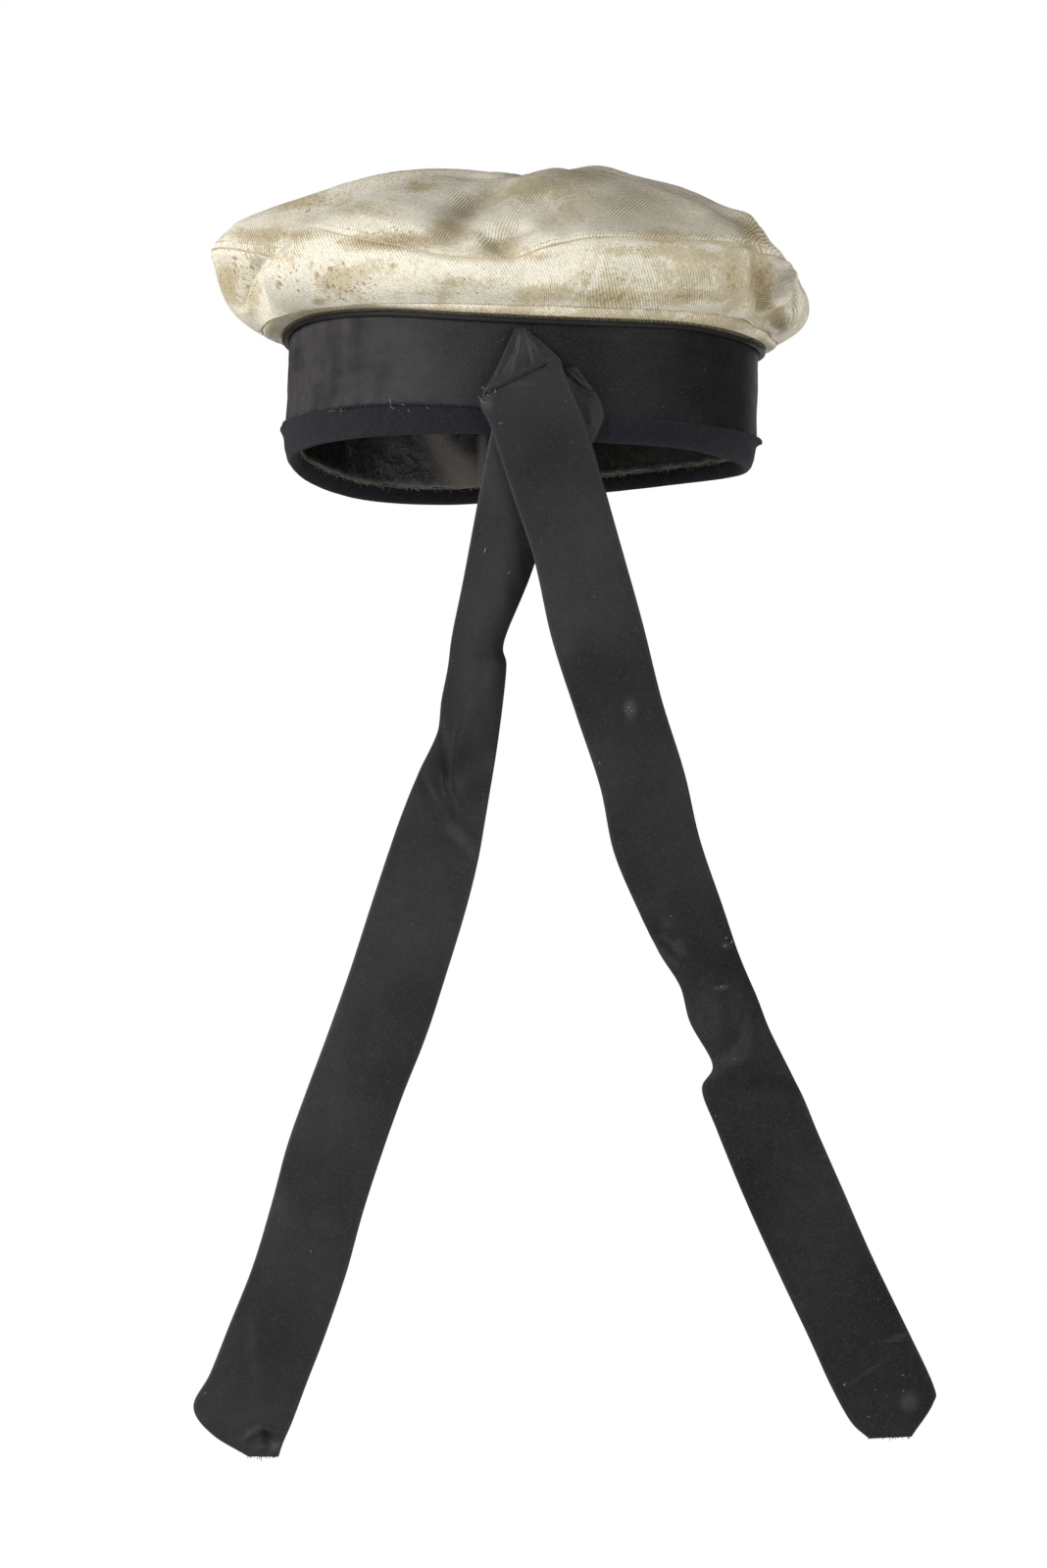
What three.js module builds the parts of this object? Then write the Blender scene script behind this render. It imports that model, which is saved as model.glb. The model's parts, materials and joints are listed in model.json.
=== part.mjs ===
// Sailor cap in millimetres. Z is up, the back of the cap faces -Y, and the origin is the centre of the
// head opening in the plane of the lower rim. Azimuth 0 is the wearer's right-hand side seen from the
// back (+X), and -90 is the centre of the back.
import * as THREE from "three";

const DEG = Math.PI / 180;

// Band: outer face of the ribbon, and how far each layer lies outside (+) or inside (-) that face.
const HALF_WIDTH = 92.6;
const HALF_DEPTH = 96;
const RIBBON_THICK = 1.0;
const WALL_OUTER = -1.35;
const WALL_INNER = -3.3;
const SWEAT_OUTER = -3.65;
const SWEAT_INNER = -4.85;
const WELT_REACH = 2.5;
const COVER_THICK = 1.3;
const SEAM_GAP = 0.35;

const cubic = (a, ma, b, mb, h, t) => {
  const t2 = t * t;
  const t3 = t2 * t;
  return (
    a * (2 * t3 - 3 * t2 + 1) +
    ma * h * (t3 - 2 * t2 + t) +
    b * (3 * t2 - 2 * t3) +
    mb * h * (t3 - t2)
  );
};

const smooth = (low, high, x) => {
  const t = Math.min(1, Math.max(0, (x - low) / (high - low)));
  return t * t * (3 - 2 * t);
};

// A table whose first column is an azimuth, read as a closed smooth curve.
function roundTable(columns, rows) {
  const n = rows.length;
  const at = (i) => rows[((i % n) + n) % n];
  const azimuthAt = (i) => at(i)[0] + 360 * Math.floor(i / n);
  const slope = (i, c) =>
    (at(i + 1)[c] - at(i - 1)[c]) / (azimuthAt(i + 1) - azimuthAt(i - 1));
  return (name, azimuth) => {
    const c = columns.indexOf(name);
    const start = rows[0][0];
    const wrapped = start + ((((azimuth - start) % 360) + 360) % 360);
    let i = 0;
    while (i < n - 1 && azimuthAt(i + 1) <= wrapped) i += 1;
    const h = azimuthAt(i + 1) - azimuthAt(i);
    const t = (wrapped - azimuthAt(i)) / h;
    return cubic(at(i)[c], slope(i, c), at(i + 1)[c], slope(i + 1, c), h, t);
  };
}

// Heights round the band: the lower rim, the top edge of the wool strip and the cover's lower edge.
const band = roundTable(
  ["azimuth", "rim", "strip", "cover"],
  [
    [-180, 0.3, 14.6, 49.8],
    [-150, 0.8, 13, 50],
    [-125, 0.4, 12.2, 47.6],
    [-105, -0.1, 10.2, 44.2],
    [-90, -0.6, 8.6, 43],
    [-72, -1.6, 7.4, 43.5],
    [-50, -0.4, 9, 46.2],
    [-25, -0.2, 11.4, 47.8],
    [0, 2, 14.4, 49.8],
    [20, 4.2, 15.6, 51.4],
    [45, 5.6, 16.4, 52.4],
    [70, 4.2, 15.8, 52.6],
    [90, 1.2, 13.5, 52.6],
    [110, -2.4, 11.4, 52],
    [135, -4.2, 10.2, 51],
    [160, -2.2, 11.6, 50],
  ],
);

// Outer face of the cover. hem is the seam above the hem strip, side the middle of the side panel, top
// the seam round the crown. edge, slope and high are heights at 0.9, 0.7 and 0.4 of the seam's radius.
const CROWN_MIDDLE = 118.5;
const crown = roundTable(
  ["azimuth", "hem_r", "hem_z", "side_r", "side_z", "top_r", "top_z", "edge", "slope", "high"],
  [
    [-180, 103, 51.6, 118, 63.5, 124, 83.5, 96.5, 107, 118.5],
    [-174, 103.5, 51.4, 117, 63.5, 124, 82.4, 95, 105.3, 117],
    [-168, 103.5, 51.3, 111.5, 63, 120, 80.5, 93, 104, 116.3],
    [-162, 103.5, 51.2, 105, 62, 110, 77, 91, 102.5, 115.3],
    [-156, 102.5, 50.9, 108.5, 62, 102, 74, 88.8, 101, 114.4],
    [-150, 102, 50.6, 114.5, 62, 103, 75, 87.5, 99.5, 113.4],
    [-144, 102, 50.2, 116.5, 62, 108, 77, 87, 98.5, 112.8],
    [-136, 101, 49.7, 115, 62, 112, 77.2, 86.5, 98, 112.2],
    [-126, 101, 49, 112, 60, 111, 72.5, 84, 96.5, 111.2],
    [-115, 100, 48, 109.5, 57, 109.5, 68, 79, 92.5, 109.5],
    [-104, 100, 47.2, 108, 55, 108.5, 62.8, 73, 87.5, 107],
    [-93, 100, 46.6, 107.5, 54.5, 108, 62.8, 72, 86.5, 106.5],
    [-84, 100, 46.9, 107.5, 56, 108, 68, 76, 89, 107.5],
    [-74, 99, 47.5, 108, 59, 108, 72, 79, 92, 109],
    [-62, 99, 48.8, 109, 60, 108, 73.5, 81.5, 94.3, 110.3],
    [-50, 99, 50.3, 110.5, 61.5, 108.5, 76, 84.3, 96.3, 111.4],
    [-42, 99, 51.2, 110.5, 63, 109, 77, 87, 99, 112.5],
    [-36, 99.5, 51.5, 106.5, 64, 106, 78.5, 89.3, 101.2, 113.3],
    [-30, 99.5, 51.6, 99.5, 64, 100, 80, 91, 103.5, 114],
    [-23, 99.5, 51.6, 104, 62, 101, 80.5, 92, 104.8, 115.2],
    [-15, 99.5, 51.6, 111, 61, 104, 80.5, 94, 106.5, 116.3],
    [-8, 100, 51.8, 109.5, 62, 105, 80, 94.5, 107.6, 117],
    [0, 100, 53, 112, 64.5, 106.5, 80.5, 94.8, 108.3, 117.6],
    [14, 100.5, 54.6, 112, 67, 108.5, 82, 96.5, 109.8, 118.5],
    [32, 101, 55.6, 112, 70, 110.5, 86, 101, 113, 120.2],
    [55, 101, 55.2, 113, 72, 113, 91, 106, 116.5, 121.8],
    [80, 101, 55.8, 114, 74, 115, 95, 109, 119, 122.8],
    [105, 101, 55.6, 115, 74, 116, 95, 109, 118.5, 122.5],
    [130, 102, 55, 116.5, 72, 118, 91, 106, 116, 121.3],
    [152, 103, 54, 118, 69, 121, 87, 101.5, 111.8, 120.2],
    [168, 103.5, 53, 118.5, 67, 123.5, 84.8, 98.2, 109, 119.3],
  ],
);

// Soft ridges (height above zero) and valleys (below zero) of the cover, each along a line between two
// points and fading over its width.
const FOLD_COLUMNS = ["ax", "ay", "az", "bx", "by", "bz", "width", "height"];
const FOLDS = [
  [-32, -66, 91, -22, -30, 111, 15, -5],
  [-16, -84, 80, 8, -34, 108, 9, 3],
  [22, -10, 118, 26, 20, 122, 18, 2.5],
  [-12, -100, 68, -4, -92, 76, 6, -3],
  [97, -32, 74, 84, -56, 53, 7, 3.5],
  [88, -48, 78, 90, -46, 60, 6, -3],
  [105, -12, 60, 101, -20, 57, 7, -3],
];

// Streamers as strips between two edges. lift is the distance of the inner face from the band, turn
// how much further back the right-hand edge lies, and bow how far the middle stands forward.
const STRIP_COLUMNS = ["lx", "lz", "rx", "rz", "lift", "thick", "turn", "bow"];
const RIGHT_STREAMER = [
  [-2, 37.3, 1, 37.5, 0.6, 2.2, 0, 0],
  [-9, 24, 13, 28, 2.3, 2, 0, 0],
  [-15, 11, 15.5, 22, 3.2, 1.4, 0, 0],
  [-11, 1, 24, 3, 3.4, 1, 0, 0],
  [-3, -22, 30.5, -17, 3.4, 1, 0, 0.5],
  [6, -47, 38, -42, 3.3, 1, 0, 0.8],
  [13.3, -76, 46.3, -69, 2.6, 1, 0, 1],
  [23, -104, 54, -97, 3, 1, 1, 1],
  [32.3, -130, 63, -124, 4, 1, 2, 2],
  [38, -154, 69.2, -148, 4, 1, 3, 2],
  [48, -176, 78.4, -173, 3, 1, 3, 3],
  [55.5, -190, 84.5, -190, 2, 1, 1, 4],
  [63.4, -202, 91, -205, 2, 1, -3, 5],
  [67.3, -215, 95.8, -217, 3, 1, -5, 5],
  [75.7, -230, 103.8, -232, 4, 1, -3, 4],
  [72, -239, 108.8, -241, 4, 1, 0, 2],
  [77.5, -253, 114.6, -254, 3, 1, 0, 1],
  [88, -277, 124.5, -275, 2, 1, 0, 1],
  [100.5, -303, 134.8, -297, 2, 1, 1, 1],
  [113, -328, 147, -321, 3, 1, 1, 1],
  [120.7, -344, 157.9, -343, 4, 1, 0, 0],
  [128.3, -357, 158, -350, 4, 1.6, 0, 0],
  [135, -363, 150.5, -362, 4, 1.6, 0, 0],
];
const LEFT_STREAMER = [
  [3, 25, 20, 25, 0.6, 1.8, 0, 0],
  [-6, 11, 30, 11, 1, 1.5, 0, 0],
  [-11, -1, 28, 0, 1.45, 1, 0, 0],
  [-15.4, -28, 14, -25, 1.4, 1, 1, 0],
  [-19.6, -55, 4.6, -53, 1.4, 1, 8, 1],
  [-23.2, -76, -4.2, -76, 3, 1, 14, 3],
  [-24.4, -88, -3.2, -85, 4, 1, 15, 4],
  [-26.4, -100, -4, -98, 4, 1, 14, 4],
  [-27.7, -112, -5.4, -112, 3, 1, 12, 4],
  [-34.2, -127, -7, -126, 1, 1, 8, 0],
  [-39.7, -142, -9, -141, 2, 1, 4, -2],
  [-44.8, -158, -11.4, -158, 3, 1, 1, 0],
  [-50.7, -178, -15.6, -177, 3, 1, 0, 1],
  [-56.8, -199, -21.6, -199, 3, 1, -1, 1],
  [-63.8, -221, -28.4, -222, 3, 1, -1, 1],
  [-71.3, -243, -36.4, -244, 3, 1, -1, 1],
  [-78, -264, -43.6, -266, 3, 1, 0, 1],
  [-83, -285, -49.8, -287, 2, 1, 1, 2],
  [-89, -307, -55.2, -309, 2, 1, 1, 1],
  [-97, -329, -62, -331, 2, 1, 0, 1],
  [-103.2, -346, -68, -348, 3, 1, 0, 1],
  [-108.8, -358, -72.8, -362, 4, 1, 0, 0],
  [-102, -367.5, -76, -370, 4, 1.4, 0, 0],
  [-88.5, -375.3, -77.5, -375, 4, 1.4, 0, 0],
];

const ovalRadius = (azimuth, out) => {
  const a = HALF_WIDTH + out;
  const b = HALF_DEPTH + out;
  return (a * b) / Math.hypot(b * Math.cos(azimuth * DEG), a * Math.sin(azimuth * DEG));
};

const onCircle = (azimuth, radius, z) =>
  new THREE.Vector3(radius * Math.cos(azimuth * DEG), radius * Math.sin(azimuth * DEG), z);

const onBand = (azimuth, out, z) => onCircle(azimuth, ovalRadius(azimuth, out), z);

// A point of the cover before its folds: level 0 to 1 runs up the side panel from the hem seam to the
// top seam, and 1 to 2 goes on over the tip to its middle.
function plainCover(azimuth, level) {
  const c = (name) => crown(name, azimuth);
  if (level <= 1) {
    const low = (1 - level) * (1 - 2 * level);
    const middle = 4 * level * (1 - level);
    const high = level * (2 * level - 1);
    return onCircle(
      azimuth,
      low * c("hem_r") + middle * c("side_r") + high * c("top_r"),
      low * c("hem_z") + middle * c("side_z") + high * c("top_z"),
    );
  }
  const reach = 2 - level;
  const across = crown("high", azimuth + 180);
  const knots = [
    [0, CROWN_MIDDLE, (c("high") - across) / 0.8],
    [0.4, c("high"), (c("slope") - CROWN_MIDDLE) / 0.7],
    [0.7, c("slope"), (c("edge") - c("high")) / 0.5],
    [0.9, c("edge"), (c("top_z") - c("slope")) / 0.36],
    [1, c("top_z"), (c("top_z") - c("edge")) / 0.07],
  ];
  let k = 0;
  while (k < knots.length - 2 && knots[k + 1][0] < reach) k += 1;
  const [r0, z0, m0] = knots[k];
  const [r1, z1, m1] = knots[k + 1];
  const h = r1 - r0;
  return onCircle(azimuth, reach * c("top_r"), cubic(z0, m0, z1, m1, h, (reach - r0) / h));
}

function coverNormal(surface, azimuth, level, low, high) {
  const turn = 1.2;
  const step = 0.02;
  const alongRound = surface(azimuth + turn, level).sub(surface(azimuth - turn, level));
  const up = surface(azimuth, Math.min(high, level + step));
  const alongUp = up.sub(surface(azimuth, Math.max(low, level - step)));
  return alongRound.cross(alongUp).normalize();
}

function foldHeight(p) {
  let height = 0;
  for (const row of FOLDS) {
    const fold = Object.fromEntries(FOLD_COLUMNS.map((name, i) => [name, row[i]]));
    const a = new THREE.Vector3(fold.ax, fold.ay, fold.az);
    const b = new THREE.Vector3(fold.bx, fold.by, fold.bz);
    const near = new THREE.Line3(a, b).closestPointToPoint(p, true, new THREE.Vector3());
    height += fold.height * Math.exp(-near.distanceToSquared(p) / fold.width ** 2);
  }
  return height;
}

// Folds move the cover away from a point inside the crown, so the panels stay joined along their seams.
const CROWN_HEART = new THREE.Vector3(0, 0, 58);

function foldedCover(azimuth, level) {
  const p = plainCover(azimuth, level);
  const outward = p.clone().sub(CROWN_HEART).normalize();
  return p.addScaledVector(outward, foldHeight(p));
}

// The inner corner under the top seam, where the side panel and the tip meet at an angle.
function seamCorner(azimuth) {
  const side = coverNormal(foldedCover, azimuth, 0.985, 0, 1);
  const tip = coverNormal(foldedCover, azimuth, 1.01, 1, 1.985);
  const middle = side.clone().add(tip).normalize();
  const depth = Math.min(2.2, COVER_THICK / Math.max(0.3, middle.dot(side)));
  return foldedCover(azimuth, 1).addScaledVector(middle, -depth);
}

const hemFoot = (azimuth) => onBand(azimuth, WELT_REACH + 0.2, band("cover", azimuth) + 0.2);

function hemNormal(azimuth) {
  const alongRound = hemFoot(azimuth + 1).sub(hemFoot(azimuth - 1));
  return alongRound.cross(foldedCover(azimuth, 0).sub(hemFoot(azimuth))).normalize();
}

// The inner corner above the hem seam, where the hem strip and the side panel meet.
function hemCorner(azimuth) {
  const side = coverNormal(foldedCover, azimuth, 0.03, 0, 1);
  const hem = hemNormal(azimuth);
  const middle = side.clone().add(hem).normalize();
  const depth = Math.min(2.2, COVER_THICK / Math.max(0.3, middle.dot(side)));
  return foldedCover(azimuth, 0).addScaledVector(middle, -depth);
}

// Indexed triangles, with equal corners merged and the faces that collapse left out.
class Surface {
  constructor() {
    this.places = [];
    this.index = [];
    this.seen = new Map();
  }
  corner(p) {
    const key = [p.x, p.y, p.z].map((v) => Math.round(v * 500)).join(",");
    if (!this.seen.has(key)) {
      this.seen.set(key, this.places.length / 3);
      this.places.push(p.x, p.y, p.z);
    }
    return this.seen.get(key);
  }
  triangle(a, b, c) {
    const t = [a, b, c].map((p) => this.corner(p));
    if (t[0] !== t[1] && t[1] !== t[2] && t[2] !== t[0]) this.index.push(...t);
  }
  quad(a, b, c, d) {
    this.triangle(a, b, c);
    this.triangle(a, c, d);
  }
  mesh(name, colour) {
    const p = this.places;
    let volume = 0;
    for (let i = 0; i < this.index.length; i += 3) {
      const [a, b, c] = this.index.slice(i, i + 3).map((k) => new THREE.Vector3(...p.slice(3 * k, 3 * k + 3)));
      volume += a.dot(b.cross(c));
    }
    const index = volume < 0 ? [...this.index].reverse() : this.index;
    const g = new THREE.BufferGeometry();
    g.setAttribute("position", new THREE.Float32BufferAttribute(p, 3));
    g.setIndex(index);
    g.computeVertexNormals();
    const made = new THREE.Mesh(g, new THREE.MeshStandardMaterial({ color: colour }));
    made.name = name;
    return made;
  }
}

// A sheet with two faces, given as rows of points. A closed sheet joins its last row to its first.
function sheet(name, outer, inner, closed, colour) {
  const s = new Surface();
  const rows = outer.length;
  const last = outer[0].length - 1;
  for (let i = 0; i < (closed ? rows : rows - 1); i += 1) {
    const k = (i + 1) % rows;
    for (let j = 0; j < last; j += 1) {
      s.quad(outer[i][j], outer[k][j], outer[k][j + 1], outer[i][j + 1]);
      s.quad(inner[i][j + 1], inner[k][j + 1], inner[k][j], inner[i][j]);
    }
    s.quad(inner[i][0], inner[k][0], outer[k][0], outer[i][0]);
    s.quad(outer[i][last], outer[k][last], inner[k][last], inner[i][last]);
  }
  if (!closed) {
    for (let j = 0; j < last; j += 1) {
      s.quad(inner[0][j], outer[0][j], outer[0][j + 1], inner[0][j + 1]);
      s.quad(outer[rows - 1][j], inner[rows - 1][j], inner[rows - 1][j + 1], outer[rows - 1][j + 1]);
    }
  }
  return s.mesh(name, colour);
}

// A ring whose closed section, a list of points for one azimuth, is carried once round the cap.
function ring(name, section, azimuths, colour) {
  const s = new Surface();
  const loops = azimuths.map(section);
  loops.forEach((loop, i) => {
    const next = loops[(i + 1) % loops.length];
    loop.forEach((p, j) => {
      const k = (j + 1) % loop.length;
      s.quad(p, next[j], next[k], loop[k]);
    });
  });
  return s.mesh(name, colour);
}

const evenly = (from, to, count) =>
  Array.from({ length: count + 1 }, (_, i) => from + ((to - from) * i) / count);

const BAND_AZIMUTHS = evenly(-180, 180, 60).slice(0, -1);

// Azimuths of the cover, closer together where the deep folds are.
function coverAzimuths(from, to) {
  const list = [from];
  for (let a = Math.ceil((from + 1) / 2.5) * 2.5; a < to - 1; a += 2.5) {
    const wrapped = a > 180 ? a - 360 : a;
    const folded = (wrapped > -174 && wrapped < -132) || (wrapped > -46 && wrapped < 4);
    if (folded || a % 5 === 0) list.push(a);
  }
  return [...list, to];
}

function coverSheet(name, azimuths, levels, closed, colour) {
  const low = levels[0];
  const high = levels[levels.length - 1];
  const outer = azimuths.map((a) => levels.map((v) => foldedCover(a, v)));
  const inner = azimuths.map((a, i) =>
    levels.map((v, j) => {
      if (v > 1.985) return outer[i][j].clone().add(new THREE.Vector3(0, 0, -COVER_THICK));
      if (Math.abs(v - 1) < 0.02) {
        const shift = outer[i][j].clone().sub(foldedCover(a, 1));
        return seamCorner(a).add(shift);
      }
      if (v < 0.03) {
        const shift = outer[i][j].clone().sub(foldedCover(a, 0));
        return hemCorner(a).add(shift);
      }
      const n = coverNormal(foldedCover, a, v, low, Math.min(high, 1.985));
      return outer[i][j].clone().addScaledVector(n, -COVER_THICK);
    }),
  );
  return sheet(name, outer, inner, closed, colour);
}

function hemSection(azimuth) {
  const foot = hemFoot(azimuth);
  const seam = foldedCover(azimuth, 0);
  const gap = foot.clone().sub(seam).setLength(SEAM_GAP);
  const footInside = foot.clone().addScaledVector(hemNormal(azimuth), -COVER_THICK);
  return [foot, seam.clone().add(gap), hemCorner(azimuth).add(gap), footInside];
}

function weltSection(azimuth) {
  const z = band("cover", azimuth) - 2.2;
  return evenly(0, 360, 10)
    .slice(0, -1)
    .map((a) => onBand(azimuth, 0.75 + (WELT_REACH - 0.75) * Math.cos(a * DEG), z + 2.0 * Math.sin(a * DEG)));
}

function ribbonSection(azimuth) {
  const low = band("strip", azimuth) + SEAM_GAP;
  const high = band("cover", azimuth) - 4.6;
  return [
    onBand(azimuth, 0, low),
    onBand(azimuth, 0, high),
    onBand(azimuth, -RIBBON_THICK, high),
    onBand(azimuth, -RIBBON_THICK, low),
  ];
}

// The wool wall: thin behind the ribbon, thick where it is turned round the lower edge.
function woolSection(azimuth) {
  const rim = band("rim", azimuth);
  const strip = band("strip", azimuth);
  const top = band("cover", azimuth) - 0.6;
  return [
    onBand(azimuth, WALL_INNER, top),
    onBand(azimuth, WALL_INNER, rim + 7),
    onBand(azimuth, -4.9, rim + 5.6),
    onBand(azimuth, -4.6, rim + 1.4),
    onBand(azimuth, -2.6, rim),
    onBand(azimuth, -0.9, rim + 0.9),
    onBand(azimuth, 0.2, rim + 3.4),
    onBand(azimuth, 0.9, strip - 3.2),
    onBand(azimuth, 0.9, strip - 1.4),
    onBand(azimuth, 0.4, strip - 0.1),
    onBand(azimuth, WALL_OUTER, strip),
    onBand(azimuth, WALL_OUTER, top),
  ];
}

function sweatSection(azimuth) {
  const low = band("rim", azimuth) + 7.4;
  const high = band("cover", azimuth) - 5;
  return [
    onBand(azimuth, SWEAT_OUTER, low),
    onBand(azimuth, SWEAT_OUTER, high),
    onBand(azimuth, SWEAT_INNER, high),
    onBand(azimuth, SWEAT_INNER, low),
  ];
}

// Where the back of the cap is in Y: curved beside the band, flat where the streamers hang free.
function backFace(x, z) {
  const curved = HALF_DEPTH * Math.sqrt(1 - Math.min(0.9, (x / HALF_WIDTH) ** 2));
  const hanging = smooth(0, 45, -z);
  return -(curved + (HALF_DEPTH - curved) * hanging);
}

function streamer(name, table, colour) {
  const column = (i, name_) => {
    const row = table[Math.min(table.length - 1, Math.max(0, i))];
    return row[STRIP_COLUMNS.indexOf(name_)];
  };
  const value = (s, name_) => {
    const i = Math.min(table.length - 2, Math.floor(s));
    const m0 = (column(i + 1, name_) - column(i - 1, name_)) / 2;
    const m1 = (column(i + 2, name_) - column(i, name_)) / 2;
    return cubic(column(i, name_), m0, column(i + 1, name_), m1, 1, s - i);
  };
  const point = (s, across, face) => {
    const x = value(s, "lx") + (value(s, "rx") - value(s, "lx")) * across;
    const z = value(s, "lz") + (value(s, "rz") - value(s, "lz")) * across;
    const lift = value(s, "lift") + face * value(s, "thick");
    const bow = value(s, "bow") * 4 * across * (1 - across);
    return new THREE.Vector3(x, backFace(x, z) - lift + value(s, "turn") * across - bow, z);
  };
  const steps = evenly(0, table.length - 1, 2 * (table.length - 1));
  const across = evenly(0, 1, 5);
  const outer = steps.map((s) => across.map((t) => point(s, t, 1)));
  const inner = steps.map((s) => across.map((t) => point(s, t, 0)));
  return sheet(name, outer, inner, false, colour);
}

const BACK_SEAM = -76;
const FRONT_SEAM = 100;
const SEAM_TURN = 0.09;
const sideLevels = [0.014, 0.15, 0.34, 0.53, 0.72, 0.88, 0.985];
const tipLevels = [1.004, 1.035, 1.08, 1.16, 1.28, 1.42, 1.58, 1.76, 2];

const cream = 0xd9d4c0;
const black = 0x2a2829;
const cap = new THREE.Group();
cap.name = "sailor_cap";
cap.add(
  coverSheet("cover_tip", coverAzimuths(-180, 180).slice(0, -1), tipLevels, true, cream),
  coverSheet(
    "cover_side_left",
    coverAzimuths(FRONT_SEAM + SEAM_TURN, BACK_SEAM + 360 - SEAM_TURN),
    sideLevels,
    false,
    cream,
  ),
  coverSheet(
    "cover_side_right",
    coverAzimuths(BACK_SEAM + SEAM_TURN, FRONT_SEAM - SEAM_TURN),
    sideLevels,
    false,
    cream,
  ),
  ring("cover_hem", hemSection, coverAzimuths(-180, 180).slice(0, -1), cream),
  ring("band_welt", weltSection, BAND_AZIMUTHS, black),
  ring("band_ribbon", ribbonSection, BAND_AZIMUTHS, black),
  ring("headband_wool", woolSection, BAND_AZIMUTHS, 0x232028),
  ring("sweatband", sweatSection, BAND_AZIMUTHS, 0x1c1a19),
  streamer("streamer_right", RIGHT_STREAMER, black),
  streamer("streamer_left", LEFT_STREAMER, black),
);

export default cap;
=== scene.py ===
import json
import math

import bpy
import numpy as np
from mathutils import Matrix, Vector

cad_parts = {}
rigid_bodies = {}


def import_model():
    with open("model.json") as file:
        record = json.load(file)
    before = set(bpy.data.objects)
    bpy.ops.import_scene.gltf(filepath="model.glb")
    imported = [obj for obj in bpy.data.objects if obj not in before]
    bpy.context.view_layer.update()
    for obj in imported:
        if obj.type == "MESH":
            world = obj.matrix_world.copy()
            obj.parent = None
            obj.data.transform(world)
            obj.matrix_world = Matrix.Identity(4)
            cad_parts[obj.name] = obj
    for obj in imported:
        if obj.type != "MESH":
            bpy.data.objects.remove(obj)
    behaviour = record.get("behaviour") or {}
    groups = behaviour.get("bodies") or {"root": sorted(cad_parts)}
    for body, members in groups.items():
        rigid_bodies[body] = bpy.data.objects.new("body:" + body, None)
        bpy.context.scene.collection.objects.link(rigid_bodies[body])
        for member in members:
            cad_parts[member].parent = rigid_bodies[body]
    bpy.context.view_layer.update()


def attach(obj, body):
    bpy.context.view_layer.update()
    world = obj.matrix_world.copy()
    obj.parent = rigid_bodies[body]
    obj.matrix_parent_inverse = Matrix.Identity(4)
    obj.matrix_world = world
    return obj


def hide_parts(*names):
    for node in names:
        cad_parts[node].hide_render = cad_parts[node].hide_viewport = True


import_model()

# All tables and sizes are in millimetres, in the frame of the CAD part: Z up, the back of the cap towards
# -Y, the origin in the middle of the head opening. Meshes are written in metres.
MM = 0.001
DEG = math.pi / 180
UP = np.array([0, 0, 1.0])
BACK = np.array([0, -1.0, 0])

# Camera of the photograph.
PHOTO_WIDTH = 1068
PHOTO_HEIGHT = 1600
SENSOR_HEIGHT = 36.0
FOCAL_PIXELS = 3778.0
CAMERA_PLACE = np.array([4.4, -1448.1, -212.2])
CAMERA_PITCH = 3.5 * DEG
CAMERA_ROLL = 1.5 * DEG
CAMERA_FORWARD = np.array([0, math.cos(CAMERA_PITCH), math.sin(CAMERA_PITCH)])
CAMERA_UP = np.array([0, -math.sin(CAMERA_PITCH), math.cos(CAMERA_PITCH)])

# Band: half axes of the ribbon's outer face, and how far the welt and the sweatband lie from it.
HALF_WIDTH = 92.6
HALF_DEPTH = 96.0
WELT_REACH = 2.5
SWEAT_OUT = -4.4
# How far the ribbon starts below the strip's edge, how far it, the welt's middle, the wool and the sweatband
# stay below the foot of the cover, and how far the sweatband starts above the rim.
RIBBON_BELOW_STRIP = 0.4
RIBBON_BELOW_COVER = 1.5
WELT_BELOW_COVER = 1.4
WOOL_BELOW_COVER = 1.0
SWEAT_BELOW_COVER = 5
SWEAT_ABOVE_RIM = 6.6
# Cloth: how thick it is, the radii that turn azimuths into lengths of it, and the width of the ribbon.
COVER_THICK = 1.3
RIBBON_THICK = 0.7
STREAMER_THICK = 0.45
SWEAT_THICK = 0.7
SWEAT_RADIUS = 90
BAND_RADIUS = 95
HEM_RADIUS = 100
CROWN_RADIUS = 108
RIBBON_WIDE = 33.0
HEM_WIDE = 5

# Heights round the band: lower rim of the wool, upper edge of the wool strip, foot of the cover.
BAND_COLUMNS = ("azimuth", "rim", "strip", "cover")
BAND = (
    (-180, 0.3, 14.6, 49.8),
    (-150, 0.8, 13, 50),
    (-125, 0.4, 12.2, 47.6),
    (-105, -0.1, 10.2, 44.2),
    (-90, -0.6, 8.6, 43),
    (-72, -1.6, 7.4, 43.5),
    (-50, -0.4, 9, 46.2),
    (-25, -0.2, 11.4, 47.8),
    (0, 2, 14.4, 49.8),
    (20, 4.2, 15.6, 51.4),
    (45, 5.6, 16.4, 52.4),
    (70, 4.2, 15.8, 52.6),
    (90, 1.2, 13.5, 52.6),
    (110, -2.4, 11.4, 52),
    (135, -4.2, 10.2, 51),
    (160, -2.2, 11.6, 50),
)

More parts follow.
